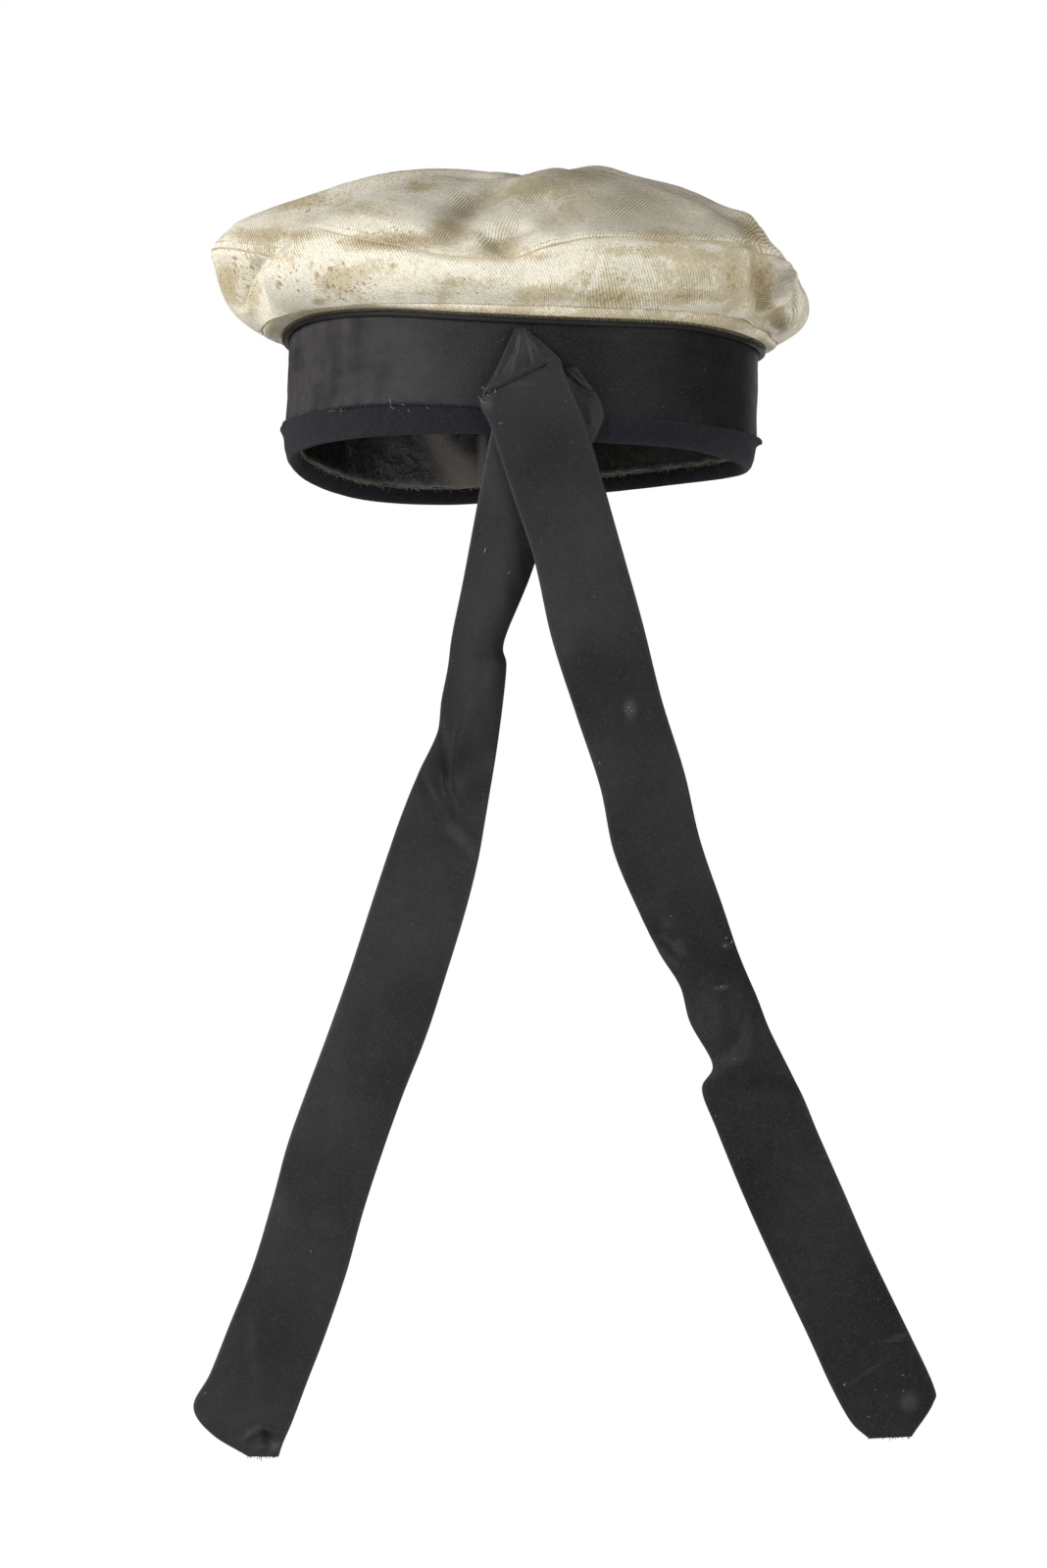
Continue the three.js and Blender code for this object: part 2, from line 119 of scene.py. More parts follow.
# Cover: radius and height of the hem, of the middle and of the top of the side panel, then heights of the
# edge, the slope and the high part of the tip. The middle is the height of its centre, and the heart is the
# point that outward directions start from.
CROWN_MIDDLE = 118.5
CROWN_HEART = 58 * UP
CROWN_COLUMNS = ("azimuth", "hem_r", "hem_z", "side_r", "side_z", "top_r", "top_z", "edge", "slope", "high")
CROWN = (
    (-180, 103, 51.6, 118, 63.5, 124, 83.5, 96.5, 107, 118.5),
    (-174, 103.5, 51.4, 117, 63.5, 124, 82.4, 95, 105.3, 117),
    (-168, 103.5, 51.3, 111.5, 63, 120, 80.5, 93, 104, 116.3),
    (-162, 103.5, 51.2, 105, 62, 110, 77, 91, 102.5, 115.3),
    (-156, 102.5, 50.9, 108.5, 62, 102, 74, 88.8, 101, 114.4),
    (-150, 102, 50.6, 114.5, 62, 103, 75, 87.5, 99.5, 113.4),
    (-144, 102, 50.2, 116.5, 62, 108, 77, 87, 98.5, 112.8),
    (-136, 101, 49.7, 115, 62, 112, 77.2, 86.5, 98, 112.2),
    (-126, 101, 49, 112, 60, 111, 72.5, 84, 96.5, 111.2),
    (-115, 100, 48, 109.5, 57, 109.5, 68, 79, 92.5, 109.5),
    (-104, 100, 47.2, 108, 55, 108.5, 62.8, 73, 87.5, 107),
    (-93, 100, 46.6, 107.5, 54.5, 108, 62.8, 72, 86.5, 106.5),
    (-84, 100, 46.9, 107.5, 56, 108, 68, 76, 89, 107.5),
    (-74, 99, 47.5, 108, 59, 108, 72, 79, 92, 109),
    (-62, 99, 48.8, 109, 60, 108, 73.5, 81.5, 94.3, 110.3),
    (-50, 99, 50.3, 110.5, 61.5, 108.5, 76, 84.3, 96.3, 111.4),
    (-42, 99, 51.2, 110.5, 63, 109, 77, 87, 99, 112.5),
    (-36, 99.5, 51.5, 106.5, 64, 106, 78.5, 89.3, 101.2, 113.3),
    (-30, 99.5, 51.6, 99.5, 64, 100, 80, 91, 103.5, 114),
    (-23, 99.5, 51.6, 104, 62, 101, 80.5, 92, 104.8, 115.2),
    (-15, 99.5, 51.6, 111, 61, 104, 80.5, 94, 106.5, 116.3),
    (-8, 100, 51.8, 109.5, 62, 105, 80, 91.5, 108.6, 117),
    (0, 100, 53, 112, 64.5, 106.5, 80.5, 92, 109.4, 117.6),
    (14, 100.5, 54.6, 112, 67, 108.5, 82, 94.8, 110.6, 118.5),
    (32, 101, 55.6, 112, 70, 110.5, 86, 101, 113, 120.2),
    (55, 101, 55.2, 113, 72, 113, 91, 106, 116.5, 121.8),
    (80, 101, 55.8, 114, 74, 115, 95, 109, 119, 122.8),
    (105, 101, 55.6, 115, 74, 116, 95, 109, 118.5, 122.5),
    (130, 102, 55, 116.5, 72, 118, 91, 106, 116, 121.3),
    (152, 103, 54, 118, 69, 121, 87, 101.5, 111.8, 120.2),
    (168, 103.5, 53, 118.5, 67, 123.5, 84.8, 98.2, 109, 119.3),
)

# Soft ridges (height above zero) and valleys (below zero) of the cover: both ends, half width and height.
FOLDS = (
    ((-32, -66, 91), (-22, -30, 111), 15, -5),
    ((-16, -84, 80), (8, -34, 108), 9, 3),
    ((25, -10, 118), (28, 20, 122), 11, 2.9),
    # dip beside the peak, flatter right slope, shoulder at its foot and the drawn-in corner
    ((2, -30, 114), (10, 28, 122), 8, -2.2),
    ((50, -24, 113), (76, -10, 106), 13, -1.4),
    ((82, -26, 96), (89, 0, 100), 6, 3.0),
    ((98, -22, 88), (101, 4, 89), 5, -1.8),
    ((107, -22, 80), (111, 4, 81), 5, -1.0),
    # folds of the side panels
    ((-12, -100, 68), (-4, -92, 76), 6, -3),
    ((97, -32, 74), (84, -56, 53), 7, 3.5),
    ((88, -48, 78), (90, -46, 60), 6, -3),
    ((105, -12, 60), (101, -20, 57), 7, -3),
)

# Smaller creases, each a lean and a line through points of the photograph. A point has its pixel, the half
# width of the crease in millimetres and its height: above zero is a ridge, below zero a valley. A positive
# lean widens the side to the right of a crease drawn downwards, and narrows the other side.
COVER_CREASES = (
    # valley and ridge across the left of the tip
    (0.3, (405, 240, 6, 0), (440, 226, 8, -1.7), (475, 212, 8, -2.4), (512, 198, 6, -1.2),
        (538, 191, 4, 0)),
    (-0.4, (458, 254, 3, 0), (478, 240, 3.2, 1.8), (500, 226, 3.8, 2.8), (520, 212, 4.2, 3),
        (545, 198, 4.6, 1.4), (566, 188, 5, 0)),
    # dent above the seam, and the facet beside it
    (0.2, (490, 236, 1.4, 0), (499, 244, 2.4, -1.8), (510, 253, 3.2, -2.8), (525, 260, 3.4, -2.4),
        (550, 262, 3, 0)),
    (0, (470, 254, 2.5, 0), (486, 244, 2.5, 1.7), (494, 238, 2, 0)),
    (0, (530, 230, 3, 0), (550, 235, 4, 2.2), (566, 242, 4, 2.2), (582, 248, 3, 0)),
    # hollow between the two humps, and the slope below the right one
    (0, (546, 232, 4, 0), (566, 218, 5.5, -2.7), (590, 200, 7, -3.1), (614, 180, 6, 0)),
    (0, (576, 240, 4, 0), (600, 227, 5, 2.2), (630, 209, 6, 2), (658, 194, 6, 0)),
    (0, (596, 238, 4, 0), (640, 229, 6, -1.7), (700, 227, 8, -1.7), (750, 238, 5, 0)),
    (0, (752, 200, 4, 0), (762, 226, 4, 2.7), (768, 250, 4, 2), (766, 262, 3, 0)),
    # left of the tip
    (0, (294, 242, 3, 0), (310, 234, 4, 1.7), (350, 226, 6, 1.7), (395, 212, 6, 1.2), (424, 196, 5, 0)),
    (0, (340, 238, 3, 0), (390, 239, 4, -2), (435, 246, 5, -2.7), (468, 251, 4, -1.4), (492, 254, 3, 0)),
    (0, (236, 240, 4, 0), (262, 232, 5, -1.2), (290, 222, 5, 0)),
    # lobe at the far left, and the edge of the main lobe over it
    (0, (226, 262, 3, 0), (232, 285, 3.5, -2), (240, 310, 3, -1.4), (247, 325, 2, 0)),
    (0.5, (303, 238, 2.5, 0), (290, 250, 2.5, 1.6), (273, 271, 2.6, 3), (263, 286, 2.6, 3.2),
        (256, 303, 2.6, 2.4), (251, 320, 2.5, 0)),
    (0, (296, 236, 2, 0), (280, 251, 2.4, -2.6), (264, 269, 2.6, -4.6), (254, 286, 2.8, -4.8),
        (247, 303, 2.6, -3.4), (244, 319, 2, 0)),
    # side panel, left and middle
    (0, (500, 272, 5, 0), (535, 277, 6, -2.5), (565, 271, 5, -1.4), (588, 262, 4, 0)),
    (0, (420, 266, 5, 0), (455, 278, 6, 1.7), (500, 291, 6, 1.2), (545, 298, 5, 0)),
    (0, (300, 262, 5, 0), (340, 276, 7, -1.4), (390, 290, 7, -1), (430, 300, 5, 0)),
    (0, (620, 260, 6, 0), (660, 280, 7, -1.7), (700, 297, 6, -1), (738, 306, 5, 0)),
    (0, (690, 256, 5, 0), (715, 272, 6, 1.4), (742, 290, 5, 0)),
    # folds at the right
    (-0.4, (761, 250, 2.2, 0), (763, 262, 2.4, 1.5), (763, 290, 2.4, 1.6), (761, 312, 2.2, 0)),
    (0, (772, 256, 2.6, 0), (779, 270, 3.8, -4.4), (779, 290, 3.8, -5), (774, 306, 3.2, -4.6),
        (766, 320, 2.2, 0)),
    (0.3, (806, 276, 2.2, 0), (799, 282, 2.4, 3), (792, 291, 2.6, 5), (786, 304, 2.8, 6.2),
        (776, 316, 2.6, 4.6), (758, 326, 2, 0)),
    (0, (786, 316, 2, 0), (791, 325, 2.6, -5), (797, 333, 2.8, -4.4), (804, 343, 2.4, 0)),
    (0, (803, 280, 1, 0), (807, 292, 1.2, -3.6), (810, 306, 1.2, -4.4), (811, 325, 1.2, -3.4),
        (809, 338, 1, 0)),
    (0, (798, 292, 2.4, 0), (801, 308, 3, 3), (801, 325, 2.4, 0)),
    (0, (816, 284, 1.5, 0), (820, 300, 1.8, 1.6), (820, 325, 1.5, 0)),
    (0, (748, 318, 2, 0), (762, 326, 2.2, -2.2), (778, 338, 2.2, -2), (788, 348, 2, 0)),
    # the two humps and the wide hollow between them
    (0, (526, 193, 5, 0), (506, 200, 7, -2), (484, 211, 8, -2.5), (464, 226, 8, -2.3), (450, 240, 6, -1.2),
        (442, 252, 4, 0)),
    (0, (430, 174, 12, 0), (438, 196, 14, 2.4), (448, 222, 11, 2.2), (452, 246, 5, 0.6)),
    (0, (599, 170, 8, 0), (592, 198, 11, 2.4), (578, 222, 8, 1.8), (560, 240, 5, 0)),
    # hollows and swellings of the right half of the tip
    (0, (640, 184, 8, 0), (676, 204, 10, -1.6), (716, 222, 9, -1.4), (745, 240, 6, 0)),
    (0, (690, 196, 8, 0), (730, 210, 8, 1.4), (752, 220, 6, 0)),
)

RIBBON_CREASES = (
    # knot: the stitched crease of the front streamer, gathers above it, and the pleats beside it
    (0, (487, 407, 0.7, 0), (496, 403, 0.7, -0.7), (530, 386, 0.7, -0.8), (556, 373, 0.7, -0.7),
        (566, 368, 0.7, 0)),
    (0, (489, 402, 1.3, 0), (500, 396, 1.5, 0.9), (530, 380, 1.6, 1), (556, 366, 1.3, 0.8),
        (562, 362, 1, 0)),
    (0, (530, 339, 0.8, 0), (524, 355, 0.9, -0.9), (514, 374, 0.9, -0.9), (508, 388, 0.8, 0)),
    (0, (532, 339, 0.8, 0), (530, 358, 1, 0.9), (526, 372, 1, 0.7), (522, 384, 0.8, 0)),
    (0, (534, 341, 0.8, 0), (538, 355, 0.9, -0.8), (541, 368, 0.9, -0.7), (541, 378, 0.8, 0)),
    (0, (540, 343, 0.8, 0), (548, 354, 0.9, 0.7), (554, 364, 0.8, 0)),
    (0, (510, 372, 0.7, 0), (504, 384, 0.8, -0.6), (499, 394, 0.7, 0)),
    (0, (572, 372, 0.9, 0), (582, 380, 1, 1.2), (592, 390, 1, 1), (600, 397, 0.8, 0)),
    (0, (580, 386, 0.9, 0), (590, 394, 1, -1), (602, 402, 1, -0.8), (608, 405, 0.8, 0)),
    (0, (596, 402, 1, 0), (602, 414, 1.2, 0.9), (604, 428, 1.2, 0.6), (604, 438, 1, 0)),
    (0, (636, 716, 1, 0), (643, 724, 1.4, 1.3), (648, 730, 1, 0)),
    # left streamer: folded over itself below the crossing, then two soft bends and a curled end
    (-0.3, (447, 730, 2.4, 0), (450, 755, 3, -2.4), (452, 785, 3, -2.8), (457, 812, 3, -2),
        (470, 846, 2.5, 0)),
    (0.3, (484, 700, 3, 0), (472, 735, 3, 1), (462, 775, 3, 1.6), (458, 805, 3, 1.2), (462, 825, 2, 0)),
    (0, (420, 770, 3, 0), (440, 806, 3, 1), (462, 836, 3, 1), (486, 868, 2.5, 0.6), (492, 880, 2, 0)),
    (0, (430, 842, 3, 0), (452, 848, 3, -0.8), (476, 868, 3, -0.8), (488, 884, 2, 0)),
    (0, (512, 655, 2.5, 0), (504, 690, 3, 1), (496, 720, 3, 0)),
    (0, (520, 585, 2, 0), (526, 600, 2.5, -1), (522, 622, 2, 0)),
    (0.2, (283, 1186, 6, 0), (315, 1212, 8, -1.8), (348, 1246, 8, -1.6), (368, 1272, 6, 0)),
    (0, (284, 1216, 6, 0), (310, 1246, 7, 1.2), (338, 1275, 6, 0)),
    (0, (262, 1330, 3, 0), (264, 1370, 3, 0.6), (268, 1410, 3, 0.5), (262, 1440, 3, 0)),
    (0, (212, 1452, 2.5, 0), (232, 1466, 2.5, -0.8), (256, 1474, 2, -0.4), (262, 1476, 2, 0)),
    (0, (246, 1474, 1, 0), (258, 1463, 1.2, 1.2), (268, 1457, 1.3, 1.4), (280, 1460, 1.2, 1.2),
        (283, 1474, 1, 0)),
    (0, (262, 1468, 1.2, 0), (270, 1466, 2.2, -2.4), (276, 1472, 2, -2.2), (274, 1482, 1.2, 0)),
    (0, (262, 1480, 0.8, 0), (272, 1476, 0.9, 0.9), (281, 1468, 0.8, 0)),
    # right streamer: bends where it turns in the middle, and the creases of its end
    (0, (672, 930, 3, 0), (672, 952, 3.2, -2.4), (684, 962, 3.2, -2), (694, 985, 3, 0)),
    (0, (668, 962, 3, 0), (690, 985, 3.6, 2.2), (705, 1012, 3.6, 1.6), (704, 1040, 3, 0)),
    (0, (700, 1000, 3, 0), (706, 1025, 3.6, -1.8), (716, 1045, 3.6, -1.5), (724, 1062, 3, 0)),
    (0, (752, 990, 3, 0), (758, 1030, 3.6, -2), (752, 1062, 3.6, -2.4), (738, 1090, 3, 0)),
    (0, (724, 1100, 3, 0), (745, 1086, 3.4, 2), (775, 1076, 3.4, 1.4), (800, 1070, 3, 0)),
    (0, (722, 1112, 4, 0), (760, 1116, 6, -1.2), (812, 1112, 5, 0)),
    (0, (640, 880, 6, 0), (668, 905, 8, -0.8), (706, 925, 6, 0)),
    (0, (600, 640, 8, 0), (630, 665, 10, -0.6), (650, 690, 8, 0)),
    (0, (770, 1230, 6, 0), (820, 1226, 8, -0.5), (858, 1216, 6, 0)),
    (0, (856, 1420, 0.9, 0), (872, 1410, 0.9, 0.7), (896, 1393, 0.9, 0.7), (914, 1380, 0.9, 0)),
    (0, (898, 1372, 0.9, 0), (910, 1366, 0.9, 0.7), (930, 1360, 0.9, 0.5)),
    (0, (918, 1442, 2, 0), (926, 1434, 2.4, 0.8), (936, 1420, 2, 0)),
)

# Streamers as strips between two edges, from the knot down. Columns: x and z of the left edge, x and z of
# the right edge, lift of the inner face from the band, turn (how much further back the right edge lies) and
# bow (how far the middle stands forward).
RIGHT_STREAMER = (
    (-3, 38.7, 0, 38.9, 1.7, 0, 0),
    (-9, 24, 13, 28, 3.3, 0, 0),
    (-15, 11, 15.5, 22, 3.9, 0, 0),
    (-11, 1, 24, 3, 3.9, 0, 0),
    (-3, -22, 30.5, -17, 3.9, 0, 0.5),
    (6, -47, 38, -42, 3.8, 0, 0.8),
    (13.3, -76, 46.3, -69, 3.1, 0, 1),
    (23, -104, 54, -97, 3.5, 1, 1),
    (32.3, -130, 63, -124, 4.5, 2, 2),
    (38, -154, 69.2, -148, 4.5, 3, 2),
    (48, -176, 78.4, -173, 3.5, 3, 3),
    (55.5, -190, 84.5, -190, 2.5, 1, 4),
    (63.4, -202, 91, -205, 2.5, -3, 5),
    (67.3, -215, 95.8, -217, 3.5, -5, 5),
    (75.7, -230, 103.8, -232, 4.5, -3, 4),
    (72, -239, 108.8, -241, 4.5, 0, 2),
    (77.5, -253, 114.6, -254, 3.5, 0, 1),
    (88, -277, 124.5, -275, 2.5, 0, 1),
    (100.5, -303, 134.8, -297, 2.5, 1, 1),
    (113, -328, 147, -321, 3.5, 1, 1),
    (120.7, -344, 157.9, -343, 4.5, 0, 0),
    (128.3, -357, 158, -350, 4.8, 0, 0),
    (135, -363, 150.5, -362, 4.8, 0, 0),
)
LEFT_STREAMER = (
    (3, 25, 20, 25, 1.5, 0, 0),
    (-6, 11, 30, 11, 1.75, 0, 0),
    (-11, -1, 28, 0, 1.95, 0, 0),
    (-15.4, -28, 14, -25, 1.9, 1, 0),
    (-19.6, -55, 4.6, -53, 1.9, 8, 1),
    (-23.2, -76, -4.2, -76, 3.5, 14, 3),
    (-24.4, -88, -3.2, -85, 4.5, 15, 4),
    (-26.4, -100, -4, -98, 4.5, 14, 4),
    (-27.7, -112, -5.4, -112, 3.5, 12, 4),
    (-34.2, -127, -7, -126, 1.5, 8, 0),
    (-39.7, -142, -9, -141, 2.5, 4, -2),
    (-44.8, -158, -11.4, -158, 3.5, 1, 0),
    (-50.7, -178, -15.6, -177, 3.5, 0, 1),
    (-56.8, -199, -21.6, -199, 3.5, -1, 1),
    (-63.8, -221, -28.4, -222, 3.5, -1, 1),
    (-71.3, -243, -36.4, -244, 3.5, -1, 1),
    (-78, -264, -43.6, -266, 3.5, 0, 1),
    (-83, -285, -49.8, -287, 2.5, 1, 2),
    (-89, -307, -55.2, -309, 2.5, 1, 1),
    (-97, -329, -62, -331, 2.5, 0, 1),
    (-103.2, -346, -68, -348, 3.5, 0, 1),
    (-108.8, -358, -72.8, -362, 4.5, 0, 0),
    (-102, -367.5, -76, -370, 4.7, 0, 0),
    (-88.5, -375.3, -77.5, -375, 4.7, 0, 0),
)

# Section of the wool wall: out from the ribbon's face, share of the way from rim to strip, rise above that.
WOOL_SECTION = (
    (-1.35, 1.0, 34.0),
    (-1.35, 1.0, 3.0),
    (-1.2, 1.0, 0.4),
    (0.2, 1.0, 0.2),
    (0.8, 0.92, 0),
    (0.95, 0.75, 0),
    (0.8, 0.55, 0),
    (0.3, 0.33, 0),
    (-0.6, 0.12, 0),
    (-1.6, 0.02, 0),
    (-2.6, 0.0, -0.1),
    (-3.8, 0.05, 0),
    (-4.7, 0.18, 0),
    (-5.0, 0.34, 0),
    (-4.8, 0.48, 0),
    (-4.0, 0.58, 0.6),
    (-3.4, 0.62, 1.5),
    (-3.3, 1.0, 10.0),
    (-3.3, 1.0, 34.0),
)
# Lumps of its lower roll: azimuth, spread in degrees and height.
WOOL_LUMPS = ((-178, 3.5, 1.7), (182, 3.5, 1.7), (-170, 2.2, 1.36), (-4, 3.5, 1.36))

# Seams of the cover: azimuths, degrees that the back seam leans at its foot, how deep and how wide the cloth
# is drawn in, millimetres for each degree, and the share of that depth and a seed for each kind of seam.
BACK_SEAM = -75.5
FRONT_SEAM = 100.0
SEAM_LEAN = 4.4
SEAM_TUCK = 0.55
SEAM_REACH = 1.1
SEAM_PER_DEGREE = 1.9
TOP_SEAM = (0.8, 14)
UPRIGHT_SEAM = (0.4, 15)

# Marks on the cover, placed by photograph pixels: x, y, half width, half height and strength.
SPOTS = {
    "stain": (
        (400, 246, 55, 9, 1), (305, 240, 26, 6, 0.9), (350, 283, 34, 16, 0.6), (262, 240, 40, 9, 0.75),
        (305, 205, 40, 12, 0.8), (375, 212, 45, 12, 0.5), (425, 190, 16, 8, 1), (440, 172, 40, 6, 0.6),
        (284, 290, 3.6, 6, 1.2), (325, 308, 6, 3.6, 1.2), (318, 270, 3.4, 6, 1), (323, 281, 3, 5, 1),
        (302, 246, 3.4, 3, 0.9), (346, 247, 6, 3, 1), (401, 271, 5, 3, 0.9), (232, 288, 16, 24, 0.85),
        (256, 305, 14, 22, 0.45), (290, 262, 26, 16, 0.5), (390, 275, 60, 16, 0.3), (520, 258, 40, 9, 0.85),
        (480, 290, 70, 12, 0.45), (560, 300, 50, 12, 0.75), (620, 303, 50, 10, 1), (597, 285, 9, 26, 0.6),
        (700, 303, 60, 10, 0.85), (650, 256, 60, 9, 0.75), (720, 262, 60, 12, 0.6),
        (660, 280, 110, 36, 0.45), (748, 285, 16, 40, 0.8), (775, 290, 16, 34, 1), (768, 235, 20, 26, 0.8),
        (806, 296, 20, 34, 0.55), (790, 318, 16, 12, 0.9), (640, 330, 170, 10, 0.62),
        (420, 321, 150, 8, 0.66), (512, 252, 20, 9, 1), (456, 238, 26, 16, 0.75), (545, 262, 30, 7, 0.7),
        (430, 300, 80, 8, 0.4), (700, 240, 90, 10, 0.55), (560, 195, 60, 30, 0.45),
    ),
    # grime and painted shade: dark marks along the valleys, creases and folds of the cloth and in the crook
    # under the lobe at the right, painted shade where shade falls, and wide marks that darken the right of
    # the tip
    "grime_and_shade": (
        (650, 205, 100, 34, 0.55), (516, 193, 22, 9, 0.55), (500, 200, 22, 12, 0.66),
        (486, 208, 22, 13, 0.72), (472, 217, 22, 14, 0.74), (460, 228, 21, 15, 0.6),
        (450, 240, 17, 12, 0.42), (546, 192, 26, 10, 0.4), (590, 180, 60, 16, 0.75),
        (730, 225, 50, 22, 0.4), (440, 190, 50, 14, 0.3), (300, 235, 40, 14, 0.35), (795, 330, 13, 9, 1.1),
        (768, 290, 4, 28, 0.35), (780, 308, 5, 10, 0.4), (810, 310, 3, 24, 0.6), (758, 326, 14, 4, 0.5),
        (508, 252, 16, 7, 0.3), (262, 268, 7, 12, 0.45), (236, 300, 20, 34, 0.28), (275, 320, 60, 18, 0.2),
        (430, 322, 150, 6, 0.16), (390, 250, 40, 6, 0.35),
    ),
    "speck": (
        (245, 282, 32, 42, 1), (300, 275, 50, 40, 0.85), (350, 285, 50, 34, 1), (320, 208, 60, 28, 0.75),
        (425, 182, 55, 16, 0.85), (400, 238, 80, 16, 0.75), (500, 285, 90, 30, 0.6),
        (660, 285, 110, 30, 0.6), (560, 215, 80, 40, 0.45), (640, 330, 160, 10, 0.6),
    ),
}
# y over which the photographed side comes in: of the cover, of the band and of the inside beyond it.
COVER_SHOWN = (60, -20)
BAND_SHOWN = (0, -30)
INSIDE_SHOWN = (20, 60)
# Wear where no mark shows: its level, how much it varies, over how many millimetres, and a seed.
WEAR_LAYERS = {"stain": (0.28, 0.25, 30, 5), "grime_and_shade": (0.08, 0.1, 45, 6), "speck": (0.35, 0.2, 40, 7)}

# Light marks on the streamers, in the same columns and at times a slope, and how strongly the lower half of
# each is painted darker, as painted shade where its sheen falls off.
RIBBON_MARKS = (
    (643, 724, 5, 8, 1.6), (740, 965, 4, 3, 1.0), (927, 1431, 10, 12, 0.8), (280, 1475, 12, 8, 0.7),
    (514, 1005, 2, 2, 0.9), (533, 352, 8, 14, 0.55), (497, 412, 6, 8, 0.8), (525, 392, 40, 4, 0.35),
    (735, 1008, 8, 2.4, 1.4, -0.15), (885, 1400, 24, 2.2, 0.65, -0.69), (915, 1365, 15, 2.2, 0.8, -0.29),
    (700, 1030, 5, 16, 0.5, 0.9),
)
PAINTED_SHADE_RIGHT = 0.95
PAINTED_SHADE_LEFT = 0.15

# Azimuths between which the ribbon round the band turns dusty and lighter with painted sheen, each pair with
# how much, and those between which it is painted darker, as shade.
RIBBON_DUST_AND_SHEEN = ((1.05, -100, -160), (0.15, -60, -110))
RIBBON_PAINTED_SHADE = (0.45, (-100, -80), (-22, -40))
# The upright seam of the ribbon round the band: its pixel column, half width, depth in millimetres and the
# rows over which it comes in.
RIBBON_SEAM = (543, 1.6, 0.7, 362, 340)
# Folds along that ribbon: their row, the column where they have it, slope, half width, depth in millimetres,
# the columns over which they come in at the left and those over which they come in at the right.
RIBBON_FOLDS = (
    (345, 590, 0.03, 2.2, 0.45, 575, 600, 715, 690),
    (371, 300, 0.01, 2.0, 0.27, 0, 1, 500, 470),
)

# Streaks inside, by pixels: a worn patch that is also a painted highlight, and a painted sheen along the
# sweatband's joint. Each has a column, its row, columns moved for each row, half width at a row and how it
# grows for each row, strength and the rows over which the streak comes in.
WORN_AND_SHEEN_STREAKS = (
    (464, 472, 0.75, 11, 440, 0.25, 1.0, 432, 450),
    (492, 472, 0, 4, 440, 0, 0.8, 440, 448),
)
# Columns over which dust comes in inside.
DUSTY_INSIDE = (580, 640)

# Stitches (from column to column) and light threads on the wool strip, by pixels of the photograph, the
# strip's height and its pixel row, and millimetres a pixel there.
WOOL_STITCHES = (345, 505)
STRIP_Z = 12
STRIP_ROW = 420
PIXEL_SIZE = 0.36
LIGHT_THREADS = (
    (344, 420), (349, 424), (352, 421), (404, 422), (409, 424), (414, 419), (418, 423), (370, 417),
    (438, 421),
)
# Threads on the front streamer's knot, frayed threads and lint lower down, and the stitched crease.
KNOT_THREADS = (
    (491, 407), (493, 404), (497, 402), (501, 400), (492, 411), (497, 410), (505, 398), (509, 431),
)
DARK_THREADS = (
    (574, 362), (578, 370), (584, 377), (590, 381), (601, 392), (606, 398), (586, 386), (570, 352),
    (598, 396),
)
LINT = (
    (740, 965), (735, 1008), (742, 956), (745, 962), (519, 585), (494, 566), (641, 722), (645, 726),
    (643, 720),
)
STITCHED_CREASE = ((492, 405), (505, 398), (520, 391), (535, 383), (550, 376), (562, 370))

# Frayed edges: azimuth, spread in degrees and number of threads of the sweatband's clumps; other counts.
FRAYED_PLACES = ((172, 5, 40), (140, 12, 60), (108, 10, 50), (60, 9, 26), (28, 7, 40), (12, 4, 20))
FRAYED_ROUND = 150
FRAYED_END = 34
EDGE_FUZZ = 260

# Room: brightness of its light at the left, at the right, and the share of it that comes from above.
ROOM_LEFT = 1.15
ROOM_RIGHT = 0.42
ROOM_ABOVE = 0.36
# Lamps: name, place and size in metres, power in watts.
LAMPS = (
    ("key", (-1.65, -1.3, 0.5), 1.1, 51),
    ("side", (-2.0, 0.2, 0.1), 1.8, 9),
    ("fill", (1.6, -1.3, 0.1), 1.4, 31),
    ("rear", (0.3, 2.0, 0.1), 1.6, 16),
)
# Floor: radius and height in metres, number of sides and colour.
FLOOR_RADIUS = 1.1
FLOOR_Z = -0.6
FLOOR_SIDES = 96
FLOOR_PALE = (0.86, 0.86, 0.85)

# Cover: millimetres for each line of its weave, and the colours of clean and worn cloth.
TWILL_PITCH = 1.0
CREAM = (0.95, 0.905, 0.77)
TAN = (0.68, 0.575, 0.365)
DEEP_TAN = (0.45, 0.345, 0.165)
SOOT_AND_SHADE = (0.37, 0.335, 0.24)
RUST = (0.33, 0.24, 0.105)
WEAVE_SHADE = (0.25, 0.19, 0.095)
# Rust and mildew: how close the spots lie, the size of the largest and how strongly they show.
RUST_SPOTS = ((230, 0.46, 0.75), (430, 0.60, 0.75), (850, 0.7, 0.65))

# Ribbons, wool and oilcloth: the same.
RIBBON_PITCH = 0.5
RIBBON_BLACK = (0.0095, 0.0086, 0.0090)
BAND_BLACK = (0.0056, 0.0049, 0.0051)
WELT_BLACK = (0.006, 0.0055, 0.0062)
PAINTED_SHADE_BLACK = (0.002, 0.0017, 0.0022)
RIBBON_WEAR_AND_SHEEN = (0.058, 0.053, 0.053)
RIBBON_FIBRE = (0.05, 0.046, 0.047)
LINT_GREY = (0.20, 0.19, 0.18)
NAVY = (0.0078, 0.0070, 0.0104)
NAVY_NAP = (0.040, 0.036, 0.052)
OILCLOTH_PITCH = 0.7
OILCLOTH_BLACK = (0.005, 0.0045, 0.0045)
OILCLOTH_WEAR_AND_SHEEN = (0.30, 0.28, 0.25)


# Helpers: curves, noise and places on the cap


def hermite(a, ma, b, mb, h, t):
    """From a with slope ma to b with slope mb over a span h, at share t of it."""
    return (
        a * (2 * t**3 - 3 * t**2 + 1)
        + ma * h * (t**3 - 2 * t**2 + t)
        + b * (3 * t**2 - 2 * t**3)
        + mb * h * (t**3 - t**2)
    )


def smooth(low, high, x):
    """A soft step from 0 where x is low to 1 where it is high."""
    t = np.clip((x - low) / (high - low), 0, 1)
    return t * t * (3 - 2 * t)


def bell(x, middle, width):
    """A bump that is 1 at its middle and about a third at width from it."""
    return np.exp(-(((x - middle) / width) ** 2))


